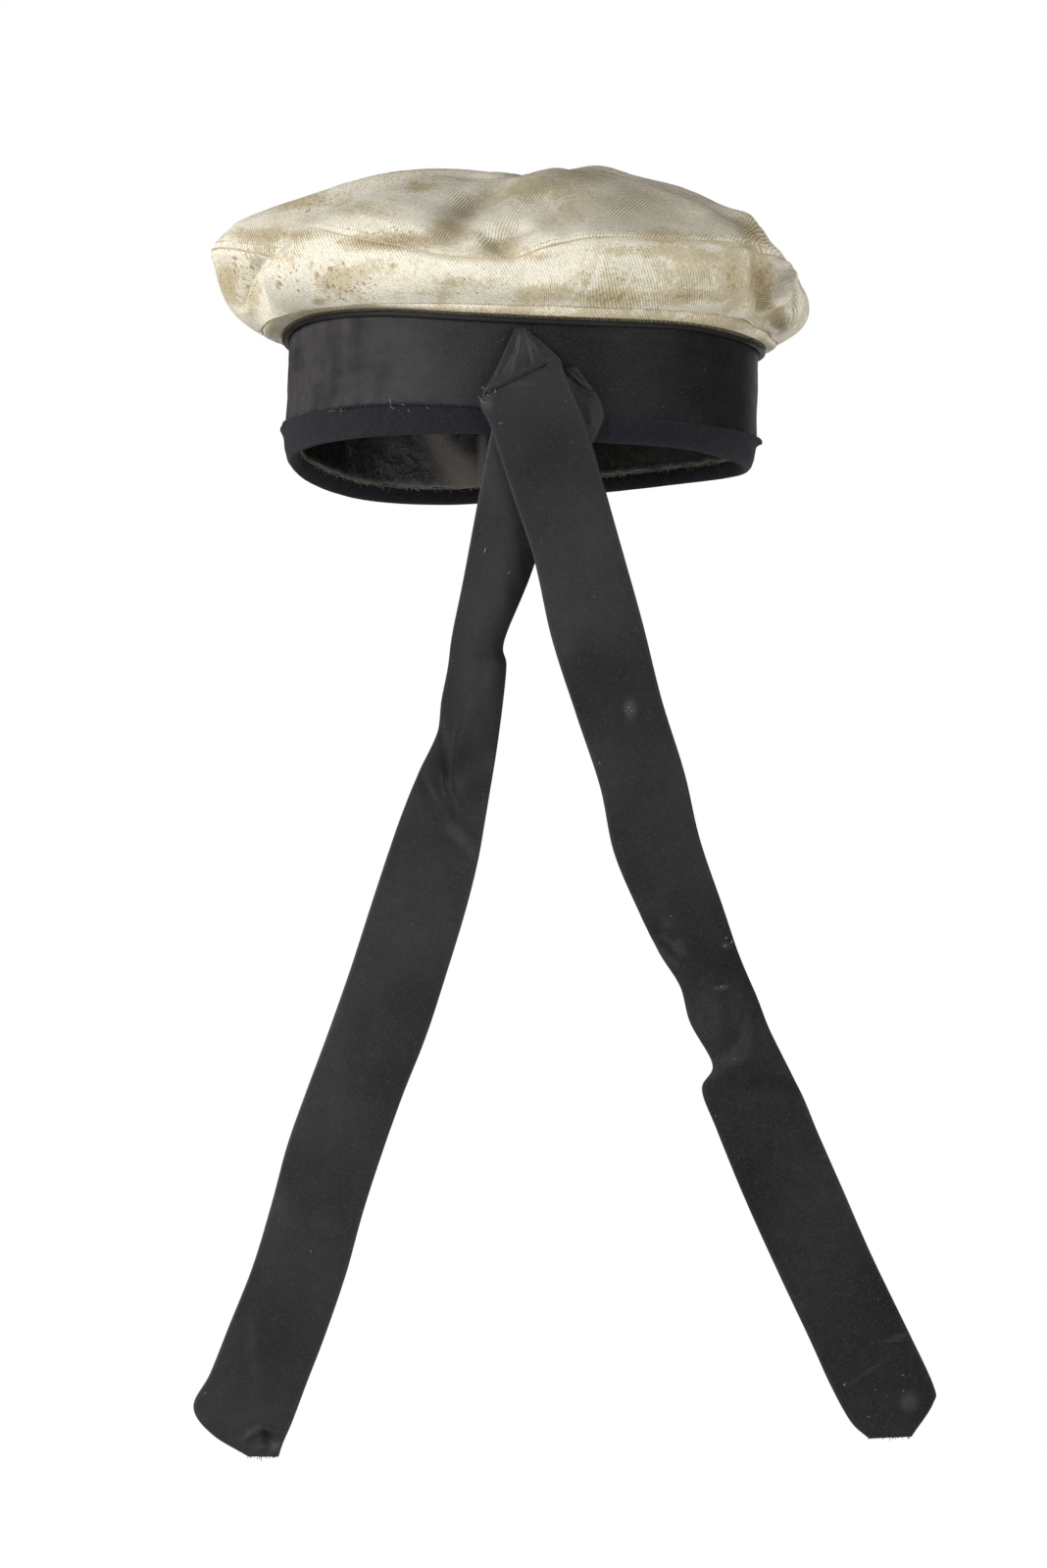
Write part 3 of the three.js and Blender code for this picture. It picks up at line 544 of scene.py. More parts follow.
def round_table(columns, rows):
    """A table whose first column is an azimuth, read as a closed smooth curve."""
    table = np.array(rows, float)
    turn = np.eye(len(columns))[0] * 360
    padded = np.vstack([table[-1] - turn, table, table[0] + turn])
    slopes = (padded[2:] - padded[:-2]) / (padded[2:, :1] - padded[:-2, :1])
    slopes = np.vstack([slopes, slopes[:1]])
    values = padded[1:]
    azimuths = values[:, 0]

    def read(name, azimuth):
        c = columns.index(name)
        wrapped = azimuths[0] + np.mod(azimuth - azimuths[0], 360)
        i = np.clip(np.searchsorted(azimuths, wrapped, side="right") - 1, 0, len(azimuths) - 2)
        h = azimuths[i + 1] - azimuths[i]
        t = (wrapped - azimuths[i]) / h
        return hermite(values[i, c], slopes[i, c], values[i + 1, c], slopes[i + 1, c], h, t)

    return read


band = round_table(BAND_COLUMNS, BAND)
crown = round_table(CROWN_COLUMNS, CROWN)


def spline_rows(values, steps):
    """A smooth curve through rows of values, steps points for each span."""
    values = np.asarray(values, float)
    padded = np.vstack([2 * values[0] - values[1], values, 2 * values[-1] - values[-2]])
    out = []
    for a, b, c, d in zip(padded, padded[1:], padded[2:], padded[3:]):
        out += [hermite(b, (c - a) / 2, c, (d - b) / 2, 1, t) for t in np.arange(steps) / steps]
    return np.array([*out, values[-1]])


NOISE_SIZE = 32
NOISE = np.random.RandomState(7).rand(NOISE_SIZE, NOISE_SIZE, NOISE_SIZE)
SEED_SHIFT = 17.3


def noise(points, size, seed):
    """Smooth noise from -1 to 1, with features about size millimetres across."""
    p = points / size + SEED_SHIFT * seed
    low = np.floor(p).astype(int)
    f = p - low
    f = f * f * (3 - 2 * f)
    total = 0.0
    for corner in np.ndindex(2, 2, 2):
        cell = np.moveaxis((low + corner) % NOISE_SIZE, -1, 0)
        total = total + NOISE[tuple(cell)] * np.prod(np.where(corner, f, 1 - f), axis=-1)
    return 2 * total - 1


def rough(points, *layers):
    """Layers of noise, each with its height, the size of its features and its seed."""
    return sum(height * noise(points, size, seed) for height, size, seed in layers)


# Columns of points round the ribbon and the welt, and round the wool and the sweatband.
RIBBON_ROUND = 720
WOOL_ROUND = 620


def around(count):
    """A column of azimuths all round the cap."""
    return np.linspace(-180, 180, count, endpoint=False)[:, None]


def on_circle(azimuth, radius, z):
    """Points round the cap's axis."""
    a, radius, z = np.broadcast_arrays(azimuth * DEG, radius, z)
    return np.stack([radius * np.cos(a), radius * np.sin(a), z], axis=-1)


def on_band(azimuth, out, z):
    """Points out from the ribbon's outer face, which is an oval."""
    a = HALF_WIDTH + out
    b = HALF_DEPTH + out
    angle = azimuth * DEG
    return on_circle(azimuth, a * b / np.hypot(b * np.cos(angle), a * np.sin(angle)), z)


def unit(v):
    """Vectors made one long."""
    return v / np.maximum(np.linalg.norm(v, axis=-1, keepdims=True), 1e-9)


def sideways(p):
    """Level directions from the cap's axis to points."""
    return unit(p * (1, 1, 0))


def photo_pixels(points):
    """Where points of the part, in millimetres, fall in the photograph."""
    d = points - CAMERA_PLACE
    depth = d @ CAMERA_FORWARD
    u = FOCAL_PIXELS * d[..., 0] / depth
    v = -FOCAL_PIXELS * (d @ CAMERA_UP) / depth
    c = math.cos(CAMERA_ROLL)
    s = math.sin(CAMERA_ROLL)
    return PHOTO_WIDTH / 2 + u * c - v * s, PHOTO_HEIGHT / 2 + u * s + v * c


def nearest_point(points, x_pixel, y_pixel):
    """The point of a surface that the photograph shows at a pixel."""
    x, y = photo_pixels(points)
    return points.reshape(-1, 3)[np.argmin((x - x_pixel) ** 2 + (y - y_pixel) ** 2)]


def band_azimuth(x_pixel):
    """Azimuth of the point of the wool strip that the photograph shows in a pixel column."""
    azimuth = np.linspace(-178, -2, 353)
    x, y = photo_pixels(on_band(azimuth, 0.0, STRIP_Z))
    return np.interp(x_pixel, x, azimuth)


def crease_height(creases, p):
    """Height of creases placed on the photograph, in millimetres, for points of the part."""
    x, y = photo_pixels(p)
    pixel = np.linalg.norm(p - CAMERA_PLACE, axis=-1) / FOCAL_PIXELS
    height = np.zeros(p.shape[:-1])
    for lean, *points in creases:
        nearest = np.full(p.shape[:-1], np.inf)
        here = np.zeros(p.shape[:-1])
        for (ax, ay, wide_a, high_a), (bx, by, wide_b, high_b) in zip(points, points[1:]):
            dx = bx - ax
            dy = by - ay
            t = np.clip(((x - ax) * dx + (y - ay) * dy) / (dx * dx + dy * dy), 0, 1)
            away = np.hypot(x - ax - t * dx, y - ay - t * dy) * pixel
            side = np.sign((x - ax) * dy - (y - ay) * dx)
            wide = (wide_a + (wide_b - wide_a) * t) * (1 + lean * side)
            here = np.where(away < nearest, (high_a + (high_b - high_a) * t) * bell(away, 0, wide), here)
            nearest = np.minimum(away, nearest)
        height += here
    return height


def marked(wear, p, marks):
    """A layer of wear, raised where the photograph shows marks."""
    x, y = photo_pixels(p)
    for mark_x, mark_y, wide, high, strength, *slope in marks:
        down = y - mark_y - sum(slope) * (x - mark_x)
        away = ((x - mark_x) / wide) ** 2 + (down / high) ** 2
        wear = np.maximum(wear, strength * np.exp(-away))
    return wear


# Helpers: meshes


def link(obj, material, node=None):
    """Put a piece in the scene, in place of a CAD node where one is named."""
    bpy.context.scene.collection.objects.link(obj)
    obj.data.materials.append(MATERIALS[material])
    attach(obj, "root")
    if node:
        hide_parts(node)


def mesh_object(name, vertices, faces):
    mesh = bpy.data.meshes.new(name)
    mesh.from_pydata((vertices * MM).tolist(), [], faces)
    mesh.polygons.foreach_set("use_smooth", [True] * len(mesh.polygons))
    mesh.update()
    return bpy.data.objects.new(name, mesh)


def row_pairs(rows, columns, closed):
    """Vertex numbers of each row of a grid and of the row after it."""
    index = np.arange(rows * columns).reshape(rows, columns)
    return (index, np.roll(index, -1, axis=0)) if closed else (index[:-1], index[1:])


def grid_object(name, points, uv, wear, closed=False, pole=None):
    """A mesh from rows of points, shape (rows, columns, 3), with its wear painted on the points. closed
    joins the last row to the first, and pole closes the last column in one point."""
    first, second = row_pairs(*points.shape[:2], closed)
    quads = np.stack([first[:, :-1], second[:, :-1], second[:, 1:], first[:, 1:]], axis=-1)
    faces = quads.reshape(-1, 4).tolist()
    vertices = points.reshape(-1, 3)
    flat_uv = uv.reshape(-1, 2)
    flat_wear = wear.reshape(-1, 3)
    if pole is not None:
        faces += [[a, b, len(vertices)] for a, b in zip(first[:, -1].tolist(), second[:, -1].tolist())]
        vertices = np.vstack([vertices, pole])
        flat_uv = np.vstack([flat_uv, flat_uv[-1:]])
        flat_wear = np.vstack([flat_wear, flat_wear[-1:]])
    made = mesh_object(name, vertices, faces)
    mesh = made.data
    corners = np.empty(len(mesh.loops), int)
    mesh.loops.foreach_get("vertex_index", corners)
    mesh.uv_layers.new(name="UVMap").data.foreach_set("uv", (flat_uv[corners] * MM).ravel())
    colour = np.hstack([flat_wear, np.ones((len(flat_wear), 1))])
    mesh.attributes.new("wear", "FLOAT_COLOR", "POINT").data.foreach_set("color", colour.ravel())
    return made


def cloth_uv(u, v):
    """Lengths along and across the cloth, in millimetres, for every point of a grid."""
    return np.stack(np.broadcast_arrays(u, v), axis=-1)


def cloth(name, points, uv, wear, material, node, thickness=0.0, offset=-1.0, closed=True):
    """A piece of cloth, as a closed ring unless closed is false, made thicker where thickness is given."""
    made = grid_object(name, points, uv, wear, closed)
    if thickness:
        modifier = made.modifiers.new("thickness", "SOLIDIFY")
        modifier.thickness = thickness * MM
        modifier.offset = offset
        modifier.use_even_offset = False
    link(made, material, node)
    return made


def tube_points(path, radius, sides, closed):
    """Rows of circles round a path of shape (n, 3)."""
    if closed:
        tangent = unit(np.roll(path, -1, axis=0) - np.roll(path, 1, axis=0))
    else:
        tangent = unit(np.gradient(path, axis=0))
    side = unit(np.cross(tangent, (0.13, 0.21, 0.97)))
    up = np.cross(tangent, side)
    angle = np.linspace(0, 2 * math.pi, sides, endpoint=False)[:, None]
    return path[:, None] + radius * (np.cos(angle) * side[:, None] + np.sin(angle) * up[:, None])


def tubes(name, paths, radius, material, sides=6, closed=False):
    """A piece of tubes along several paths, in one mesh."""
    vertices = []
    faces = []
    for path in paths:
        rings = tube_points(path, radius, sides, closed)
        start = sum(len(v) for v in vertices)
        first, second = row_pairs(len(rings), sides, closed)
        quads = np.stack([first, second, np.roll(second, -1, axis=1), np.roll(first, -1, axis=1)], axis=-1)
        vertices.append(rings.reshape(-1, 3))
        faces += (start + quads.reshape(-1, 4)).tolist()
        if not closed:
            faces.append((start + first[0][::-1]).tolist())
            faces.append((start + second[-1]).tolist())
    link(mesh_object(name, np.vstack(vertices), faces), material)


def along(path, pitch, length):
    """Short pieces of a path, length millimetres long and pitch millimetres apart."""
    steps = np.linalg.norm(np.diff(path, axis=0), axis=-1)
    place = np.concatenate([[0], np.cumsum(steps)])
    pieces = []
    for start in np.arange(0, place[-1] - length, pitch):
        at = start + np.linspace(0, length, 5)
        pieces.append(np.stack([np.interp(at, place, path[:, k]) for k in range(3)], axis=-1))
    return pieces


# How deep the ends of a stitch lie in the cloth.
STITCH_SINK = 0.05


def stitches(name, path, outward, pitch, length, radius, material, proud):
    """A row of stitches: each dips into the cloth at both ends."""
    lifts = along(path + outward, pitch, length)
    arch = np.sin(np.linspace(0, math.pi, 5))[:, None] * proud - STITCH_SINK
    paths = [piece + unit(lift - piece) * arch for piece, lift in zip(along(path, pitch, length), lifts)]
    tubes(name, paths, radius, material, 5)


# How far loose threads curl and wave, as shares of their length.
CURL = 0.45
SWAY = 0.12


def loose_threads(name, starts, directions, lengths, radius, material, seed):
    """Short curled threads that stand out from starts."""
    chance = np.random.default_rng(seed)
    t = np.linspace(0, 1, 7)[:, None]
    paths = []
    for start, direction, length in zip(starts, directions, lengths):
        curl = chance.normal(0, CURL, 3) * length
        wave = chance.normal(0, SWAY, 3) * length
        paths.append(start + direction * length * t + curl * t**2 + wave * np.sin(5 * t))
    tubes(name, paths, radius, material, 4)


def scattered_threads(chance, name, starts, spread, push, sizes, radius, material, slot, seed):
    """Loose threads that point anywhere within a spread, pushed one way, with lengths between two sizes."""
    directions = unit(chance.normal(0, 1, (len(starts), 3)) * spread + push)
    lengths = chance.uniform(*sizes, len(starts))
    loose_threads(name, starts, directions, lengths, radius, material, seed)


# Materials


class Value:
    """An output of a node, which can be used in sums like a number."""

    def __init__(self, nodes, socket):
        self.nodes = nodes
        self.socket = socket

    def __add__(self, other):
        return self.nodes.math("ADD", self, other)

    def __radd__(self, other):
        return self.nodes.math("ADD", other, self)

    def __sub__(self, other):
        return self.nodes.math("SUBTRACT", self, other)

    def __rsub__(self, other):
        return self.nodes.math("SUBTRACT", other, self)

    def __mul__(self, other):
        return self.nodes.math("MULTIPLY", self, other)

    def clamped(self):
        """The same output, kept between 0 and 1."""
        self.socket.node.use_clamp = True
        return self

    def beside(self, output):
        """Another output of the same node."""
        return Value(self.nodes, self.socket.node.outputs[output])


class Nodes:
    """Short calls for building the node tree of a material or of the world."""

    def __init__(self, owner):
        owner.use_nodes = True
        self.owner = owner
        self.tree = owner.node_tree
        self.place = self.node("ShaderNodeTexCoord", output="Object")

    def put(self, value, socket):
        """Join a value to a socket, or set the socket to a number, a vector or a colour."""
        if isinstance(value, Value):
            self.tree.links.new(value.socket, socket)
        else:
            socket.default_value = (*value, 1) if socket.type == "RGBA" else value

    def node(self, kind, inputs=(), output=0, **settings):
        """A new node with its settings and inputs; gives one of its outputs."""
        made = self.tree.nodes.new(kind)
        for key, value in settings.items():
            setattr(made, key, value)
        for key, value in dict(inputs).items():
            self.put(value, made.inputs[key])
        return Value(self, made.outputs[output])

    def math(self, operation, a, b):
        return self.node("ShaderNodeMath", {0: a, 1: b}, operation=operation)

    def mix(self, share, a, b):
        return self.node("ShaderNodeMix", {0: share, 6: a, 7: b}, 2, data_type="RGBA")

    def noise(self, scale, detail, roughness, distortion=0.0):
        inputs = {"Scale": scale, "Detail": detail, "Roughness": roughness, "Distortion": distortion}
        return self.node("ShaderNodeTexNoise", {"Vector": self.place, **inputs}, "Fac")

    def spots(self, scale):
        """Distance from round spots scattered at random, and a random number for each spot."""
        wobble = self.node("ShaderNodeTexNoise", {"Vector": self.place, "Scale": scale * 1.6}, "Color")
        shift = self.node("ShaderNodeVectorMath", {0: wobble, "Scale": 0.95 / scale}, operation="SCALE")
        shifted = self.node("ShaderNodeVectorMath", {0: self.place, 1: shift}, operation="ADD")
        cell = self.node("ShaderNodeTexVoronoi", {"Vector": shifted, "Scale": scale}, "Distance")
        return cell, self.node("ShaderNodeSeparateColor", {"Color": cell.beside("Color")})

    def wear(self):
        """The three painted layers of wear, which also carry painted shade and sheen."""
        painted = self.node("ShaderNodeAttribute", output="Color", attribute_name="wear")
        first = self.node("ShaderNodeSeparateColor", {"Color": painted})
        return first, first.beside(1), first.beside(2)

    def weave(self, pitch, angle, distortion, detail, detail_scale):
        """Lines that repeat every pitch millimetres of the cloth, turned by an angle."""
        turn = {"Vector": self.place.beside("UV"), "Rotation": (0, 0, angle)}
        inputs = {
            "Vector": self.node("ShaderNodeMapping", turn),
            "Scale": WAVE_PERIOD / (pitch * MM),
            "Distortion": distortion,
            "Detail": detail,
            "Detail Scale": detail_scale,
        }
        return self.node("ShaderNodeTexWave", inputs, "Fac", wave_type="BANDS", bands_direction="X")

    def bump(self, height, distance, strength, under=None):
        inputs = {"Height": height, "Distance": distance, "Strength": strength}
        if under:
            inputs["Normal"] = under
        return self.node("ShaderNodeBump", inputs)

    def surface(self, colour, roughness, specular, normal, **others):
        """Finish a material: the main inputs of its shader, and others by their names."""
        inputs = {"Base Color": colour, "Roughness": roughness, "Specular IOR Level": specular}
        for name, value in {**inputs, "Normal": normal, **others}.items():
            self.put(value, self.tree.nodes["Principled BSDF"].inputs[name])
        return self.owner


# Length after which a band wave at scale 1 repeats, in metres.
WAVE_PERIOD = math.pi / 10


def new_nodes(name):
    return Nodes(bpy.data.materials.new(name))


def shade(colour, share):
    return tuple(share * level for level in colour)


def twill_material(name, angle):
    n = new_nodes(name)
    stain, grime_and_shade, speck = n.wear()
    # pale cloth yellowed in patches with grainy edges, darker in their middle
    large = n.noise(42, 5, 0.62, 0.5)
    small = n.noise(560, 6, 0.85)
    patches = ((large * 0.5 + small * 0.5 - 0.585 + stain * 0.25) * 13.0).clamped()
    colour = n.mix(patches * 0.72, CREAM, TAN)
    deep = ((large * 0.3 + small * 0.7 - 0.71 + stain * 0.25) * 10.0).clamped()
    colour = n.mix(deep, colour, DEEP_TAN)
    # grime and painted shade, soot-coloured: dirt, and shade painted into the valleys, creases and folds of
    # the cloth
    grainy = n.noise(60, 6, 0.7) * 0.5 + n.noise(480, 5, 0.85) * 1.5
    colour = n.mix((grime_and_shade * (grainy - 0.2)).clamped(), colour, SOOT_AND_SHADE)
    mottle = ((n.noise(270, 5, 0.8) - 0.53) * 5.0).clamped()
    colour = n.mix(mottle * (stain * 0.4 + 0.2), colour, TAN)
    for scale, largest, strength in RUST_SPOTS:
        distance, chance = n.spots(scale)
        size = n.math("POWER", chance, 1.8) * speck * (largest + 0.12) - 0.12
        colour = n.mix(((size - distance) * 7.0).clamped() * strength, colour, RUST)
    # weave: its grooves painted darker, as shade between the ribs, deeper where the cloth is stained and
    # where grime and painted shade lie
    lines = n.weave(TWILL_PITCH, angle, 0.6, 1.0, 0.5)
    groove = (1.0 - lines) * (0.32 + (patches * 0.22 + grime_and_shade * 0.7))
    grain = (n.noise(1300, 4, 0.8) - 0.5) * 1.7
    colour = n.mix((groove + grain).clamped(), colour, WEAVE_SHADE)
    crumpled = n.bump(n.noise(190, 5, 0.68), 0.0011, 0.45, n.bump(lines, 0.00022, 0.8))
    return n.surface(colour, 0.92, 0.15, n.bump(n.noise(700, 4, 0.7), 0.0005, 0.6, crumpled))


def ribbon_material(name, base, gloss):
    n = new_nodes(name)
    worn, painted_shade, _ = n.wear()
    cloud = n.noise(34, 5, 0.6)
    colour = n.mix(((cloud - 0.3) * 2.5).clamped(), shade(base, 0.6), shade(base, 1.4))
    # painted shade: darker and less glossy where the sheen falls off, down the streamers and on the band
    # right of its middle
    colour = n.mix(painted_shade * 0.95, colour, PAINTED_SHADE_BLACK)
    # wear, dust and painted sheen: lighter where the ribbon is worn or dusty, and at the band's left, where
    # sheen is painted
    colour = n.mix((worn * (n.noise(160, 4, 0.7) + 0.2)).clamped(), colour, RIBBON_WEAR_AND_SHEEN)
    colour = n.mix(((n.noise(1500, 2, 0.7) - 0.5) * 2.0).clamped(), colour, RIBBON_FIBRE)
    distance, chance = n.spots(330)
    lint = n.math("GREATER_THAN", chance, 0.93) * n.math("LESS_THAN", distance, 0.09)
    colour = n.mix(lint * 0.5, colour, LINT_GREY)
    specular = (1.0 - painted_shade * 0.45) * gloss
    ribs = n.bump(n.weave(RIBBON_PITCH, math.pi / 2, 1.2, 2.0, 0.8), 0.00006, 0.5)
    return n.surface(colour, 0.45 + cloud * 0.3, specular, n.bump(n.noise(240, 5, 0.7), 0.0005, 0.5, ribs))


def wool_material(name):
    n = new_nodes(name)
    nap = n.noise(1500, 4, 0.75)
    colour = n.mix(n.noise(60, 3, 0.6) * 0.7, NAVY, shade(NAVY, 1.6))
    colour = n.mix(((nap - 0.5) * 5.0).clamped() * 0.7, colour, NAVY_NAP)
    felt = n.bump(n.noise(420, 4, 0.7), 0.0010, 0.7, n.bump(nap, 0.0006, 0.9))
    return n.surface(colour, 0.95, 0.1, felt, **{"Sheen Weight": 0.07, "Sheen Roughness": 0.6})


def oilcloth_material(name):
    n = new_nodes(name)
    warp, weft = (n.weave(OILCLOTH_PITCH, angle, 0.8, 1.0, 1.0) for angle in (0, math.pi / 2))
    weave = warp * weft
    # worn patch with a painted highlight, and painted sheen along the joint: lighter along the weave, and
    # rougher
    patch = (n.wear()[0] * (n.noise(150, 6, 0.75) + 0.45)).clamped()
    light = (patch * (weave * 2.2 + 0.12)).clamped()
    normal = n.bump(n.noise(55, 6, 0.7), 0.0026, 0.8, n.bump(weave, 0.00015, 0.6))
    colour = n.mix(light, OILCLOTH_BLACK, OILCLOTH_WEAR_AND_SHEEN)
    return n.surface(colour, (0.24 + patch * 0.4).clamped(), 0.55, normal)


def thread_material(name, colour):
    n = new_nodes(name)
    mixed = n.mix(n.noise(900, 2, 0.5), colour, shade(colour, 0.6))
    return n.surface(mixed, 0.85, 0.15, n.bump(n.noise(2500, 2, 0.5), 0.0001, 0.5))


MATERIALS = {
    "twill_tip": twill_material("twill_tip", 20 * DEG),
    "twill_side": twill_material("twill_side", -30 * DEG),
    "ribbon": ribbon_material("ribbon_cloth", RIBBON_BLACK, 0.3),
    "ribbon_band": ribbon_material("ribbon_band", BAND_BLACK, 0.18),
    "welt": ribbon_material("welt_cloth", WELT_BLACK, 0.15),
    "wool": wool_material("navy_wool"),
    "oilcloth": oilcloth_material("oilcloth"),
    "seam": thread_material("seam_cotton", (0.66, 0.56, 0.37)),
    "cream_thread": thread_material("cream_thread", (0.70, 0.62, 0.43)),
    "pale_thread": thread_material("pale_thread", (0.42, 0.39, 0.33)),
    "worn_edge": thread_material("worn_edge", (0.17, 0.155, 0.13)),
    "dark_thread": thread_material("dark_thread", (0.006, 0.0055, 0.0065)),
    "seam_thread": thread_material("seam_thread", (0.0016, 0.0014, 0.0017)),
}


# Cover


def plain_cover(azimuth, level):
    """The cover before its folds. level 0 to 1 runs up the side panel, 1 to 2 over the tip."""
    azimuth, level = np.broadcast_arrays(azimuth, level)
    c = {name: crown(name, azimuth) for name in CROWN_COLUMNS[1:]}
    u = np.clip(level, 0, 1)
    shares = ((1 - u) * (1 - 2 * u), 4 * u * (1 - u), u * (2 * u - 1))
    radius = sum(share * c[name] for share, name in zip(shares, ("hem_r", "side_r", "top_r")))
    height = sum(share * c[name] for share, name in zip(shares, ("hem_z", "side_z", "top_z")))
    reach = 2 - np.clip(level, 1, 2)
    across = crown("high", azimuth + 180)
    # share of the way from the middle to the edge, height there and slope
    knots = (
        (0, CROWN_MIDDLE, (c["high"] - across) / 0.8),
        (0.4, c["high"], (c["slope"] - CROWN_MIDDLE) / 0.7),
        (0.7, c["slope"], (c["edge"] - c["high"]) / 0.5),
        (0.9, c["edge"], (c["top_z"] - c["slope"]) / 0.36),
        (1.0, c["top_z"], (c["top_z"] - c["edge"]) / 0.07),
    )
    z = np.zeros_like(reach)
    for (r0, z0, m0), (r1, z1, m1) in zip(knots, knots[1:]):
        inside = (reach >= r0) & (reach <= r1)
        z = np.where(inside, hermite(z0, m0, z1, m1, r1 - r0, (reach - r0) / (r1 - r0)), z)
    tip = on_circle(azimuth, reach * c["top_r"], z)
    return np.where((level <= 1)[..., None], on_circle(azimuth, radius, height), tip)


def fold_height(p):
    height = np.zeros(p.shape[:-1])
    for start, end, width, rise in FOLDS:
        line = np.subtract(end, start)
        t = np.clip((p - start) @ line / (line @ line), 0, 1)
        away = np.linalg.norm(p - start - t[..., None] * line, axis=-1)
        height += rise * bell(away, 0, width)
    return height


# Steps over which the slope of the cover is measured, and the level where they stop at the tip's middle.
AZIMUTH_STEP = 0.6
LEVEL_STEP = 0.01
LAST_LEVEL = 1.99


def folded_cover(azimuth, level):
    """The cover with its folds, its creases and the uneven lie of its cloth."""
    p = plain_cover(azimuth, level)
    right = plain_cover(azimuth + AZIMUTH_STEP, level) - plain_cover(azimuth - AZIMUTH_STEP, level)
    above = plain_cover(azimuth, np.minimum(level + LEVEL_STEP, LAST_LEVEL))
    up = above - plain_cover(azimuth, level - LEVEL_STEP)
    outward = unit(p - CROWN_HEART)
    to_camera = unit(CAMERA_PLACE - p)
    facing = np.einsum("...i,...i", unit(np.cross(right, up)), to_camera)
    height = fold_height(p) + rough(p * (1, 1, 0.8), (0.5, 22, 1), (0.32, 9, 2), (0.12, 4, 3))
    # where the cover turns away, a crease rises towards the back of the cap, so the outline stays
    share = smooth(0.05, 0.6, facing)[..., None]
    rise = unit(outward * share + to_camera * (1 - share))
    creases = crease_height(COVER_CREASES, p) * smooth(0.0, 0.22, facing)
    return p + outward * height[..., None] + rise * creases[..., None]


def leaning(azimuth, level):
    """Azimuths of the panels, bent at the back seam, which leans to the left near its foot."""
    near = bell((azimuth - BACK_SEAM + 180) % 360 - 180, 0, 10.0)
    return azimuth - SEAM_LEAN * np.clip(1 - level, 0, 1) ** 2.2 * near


def cover_wear(p):
    """Stain, grime and painted shade, and specks: the marks on the side that shows, and an even wear
    elsewhere.
    """
    shown = smooth(*COVER_SHOWN, p[..., 1])
    layers = []
    for kind, (level, *varied) in WEAR_LAYERS.items():
        even = level + rough(p, varied)
        marks = marked(np.zeros_like(shown), p, SPOTS[kind])
        layers.append(np.clip(shown * marks + (1 - shown) * even + shown * 0.25 * even, 0, 1))
    return np.stack(layers, axis=-1)


def beside_seam(p, distance, share, seed):
    """Cloth drawn in at a distance from a seam, with the small gathers of its stitches."""
    groove = SEAM_TUCK * bell(distance, 0, SEAM_REACH)
    swell = 0.55 * bell(distance, 2.6, 1.6)
    gather = rough(p * (1, 1, 0.25), (0.38, 1.9, seed)) * bell(distance, 0, 3.6)
    gather = gather + rough(p * (1, 1, 0.3), (0.3, 4.5, seed + 20)) * bell(distance, 0, 7)
    return p - unit(p - CROWN_HEART) * (share * (groove - swell - gather))[..., None]


# Degrees between columns of points where the photograph shows the cover, and elsewhere.
FINE_TURN = 0.42
COARSE_TURN = 1.1


def fine_azimuths(start, end):
    """Azimuths from start to end, close together on the side that the photograph shows."""
    azimuths = [start]
    while azimuths[-1] < end - 0.25:
        wrapped = (azimuths[-1] + 180) % 360 - 180
        azimuths.append(azimuths[-1] + (FINE_TURN if -179 < wrapped < 12 else COARSE_TURN))
    azimuths[-1] = end
    return np.array(azimuths)[:, None]


# The inner face of the cover takes every third point of the outer one, and is evenly worn.
INSIDE_STEP = 3
INSIDE_WEAR = 0.35


def two_faced(name, outer, uv, closed=False, pole=None):
    """A fine outer face and a coarser inner face of one piece of cloth, in one mesh."""
    face = grid_object(name, outer, uv, cover_wear(outer), closed, pole)
    rows = list(range(0, len(outer), INSIDE_STEP))
    if not closed and rows[-1] < len(outer) - 1:
        rows.append(len(outer) - 1)
    coarse = outer[rows][:, ::INSIDE_STEP]
    inner = coarse - unit(coarse - CROWN_HEART) * COVER_THICK
    lining = grid_object(name + "_inside", inner, inner[..., :2], np.full(inner.shape, INSIDE_WEAR), closed)
    both = [face, lining]
    objects = bpy.context.scene.collection.objects
    with bpy.context.temp_override(
        active_object=face, object=face, selected_objects=both, selected_editable_objects=both
    ):
        objects.link(face)
        objects.link(lining)
        bpy.ops.object.join()
    objects.unlink(face)
    return face


def crown_tip():
    # points lie closer together beside the top seam
    reach = np.concatenate([1 - 0.24 * np.linspace(0, 1, 40) ** 1.15, np.linspace(0.76, 0.03, 62)[1:]])
    level = 2 - reach
    p = folded_cover(fine_azimuths(-180, 179.5), level)
    p = beside_seam(p, (level - 1) * CROWN_RADIUS, *TOP_SEAM)
    tip = two_faced("crown_tip", p, p[..., :2], closed=True, pole=p[:, -1].mean(axis=0))
    link(tip, "twill_tip", "cover_tip")


def side_panel(name, node, start, end):
    azimuth = fine_azimuths(start, end)
    level = np.linspace(0, 1, 60)
    p = folded_cover(leaning(azimuth, level), level)
    p = beside_seam(p, np.linalg.norm(p - p[:, -1:], axis=-1), *TOP_SEAM)
    edge = np.minimum(azimuth - start, end - azimuth) * SEAM_PER_DEGREE
    p = beside_seam(p, edge + 0.4, *UPRIGHT_SEAM)
    v = np.cumsum(np.linalg.norm(np.diff(p, axis=1, prepend=p[:, :1]), axis=-1), axis=1)
    panel = two_faced(name, p, cloth_uv((azimuth - BACK_SEAM) * DEG * CROWN_RADIUS, v))
    link(panel, "twill_side", node)


# The hem swells away from its heart, most at these azimuths: azimuth, spread in degrees and height. It is
# painted darker than the cloth above it, with more stain and more grime and painted shade.
HEM_HEART = 90 * UP
HEM_PUFFS = ((-178, 15, 2.2), (-4, 14, 1.2))
HEM_WEAR = (0.22, 0.14, 0)
# Lines round the cover, one at the foot of the side panels and one at their top: level, radius, how deep
# they are sunk, and the height, size and seed of their wobble.
ROUND_SEAMS = {"hem_edge": (0.02, 0.26, 0.5, (0.15, 5, 13)), "top_seam": (1.0, 0.36, 0.42, (0.2, 5, 12))}


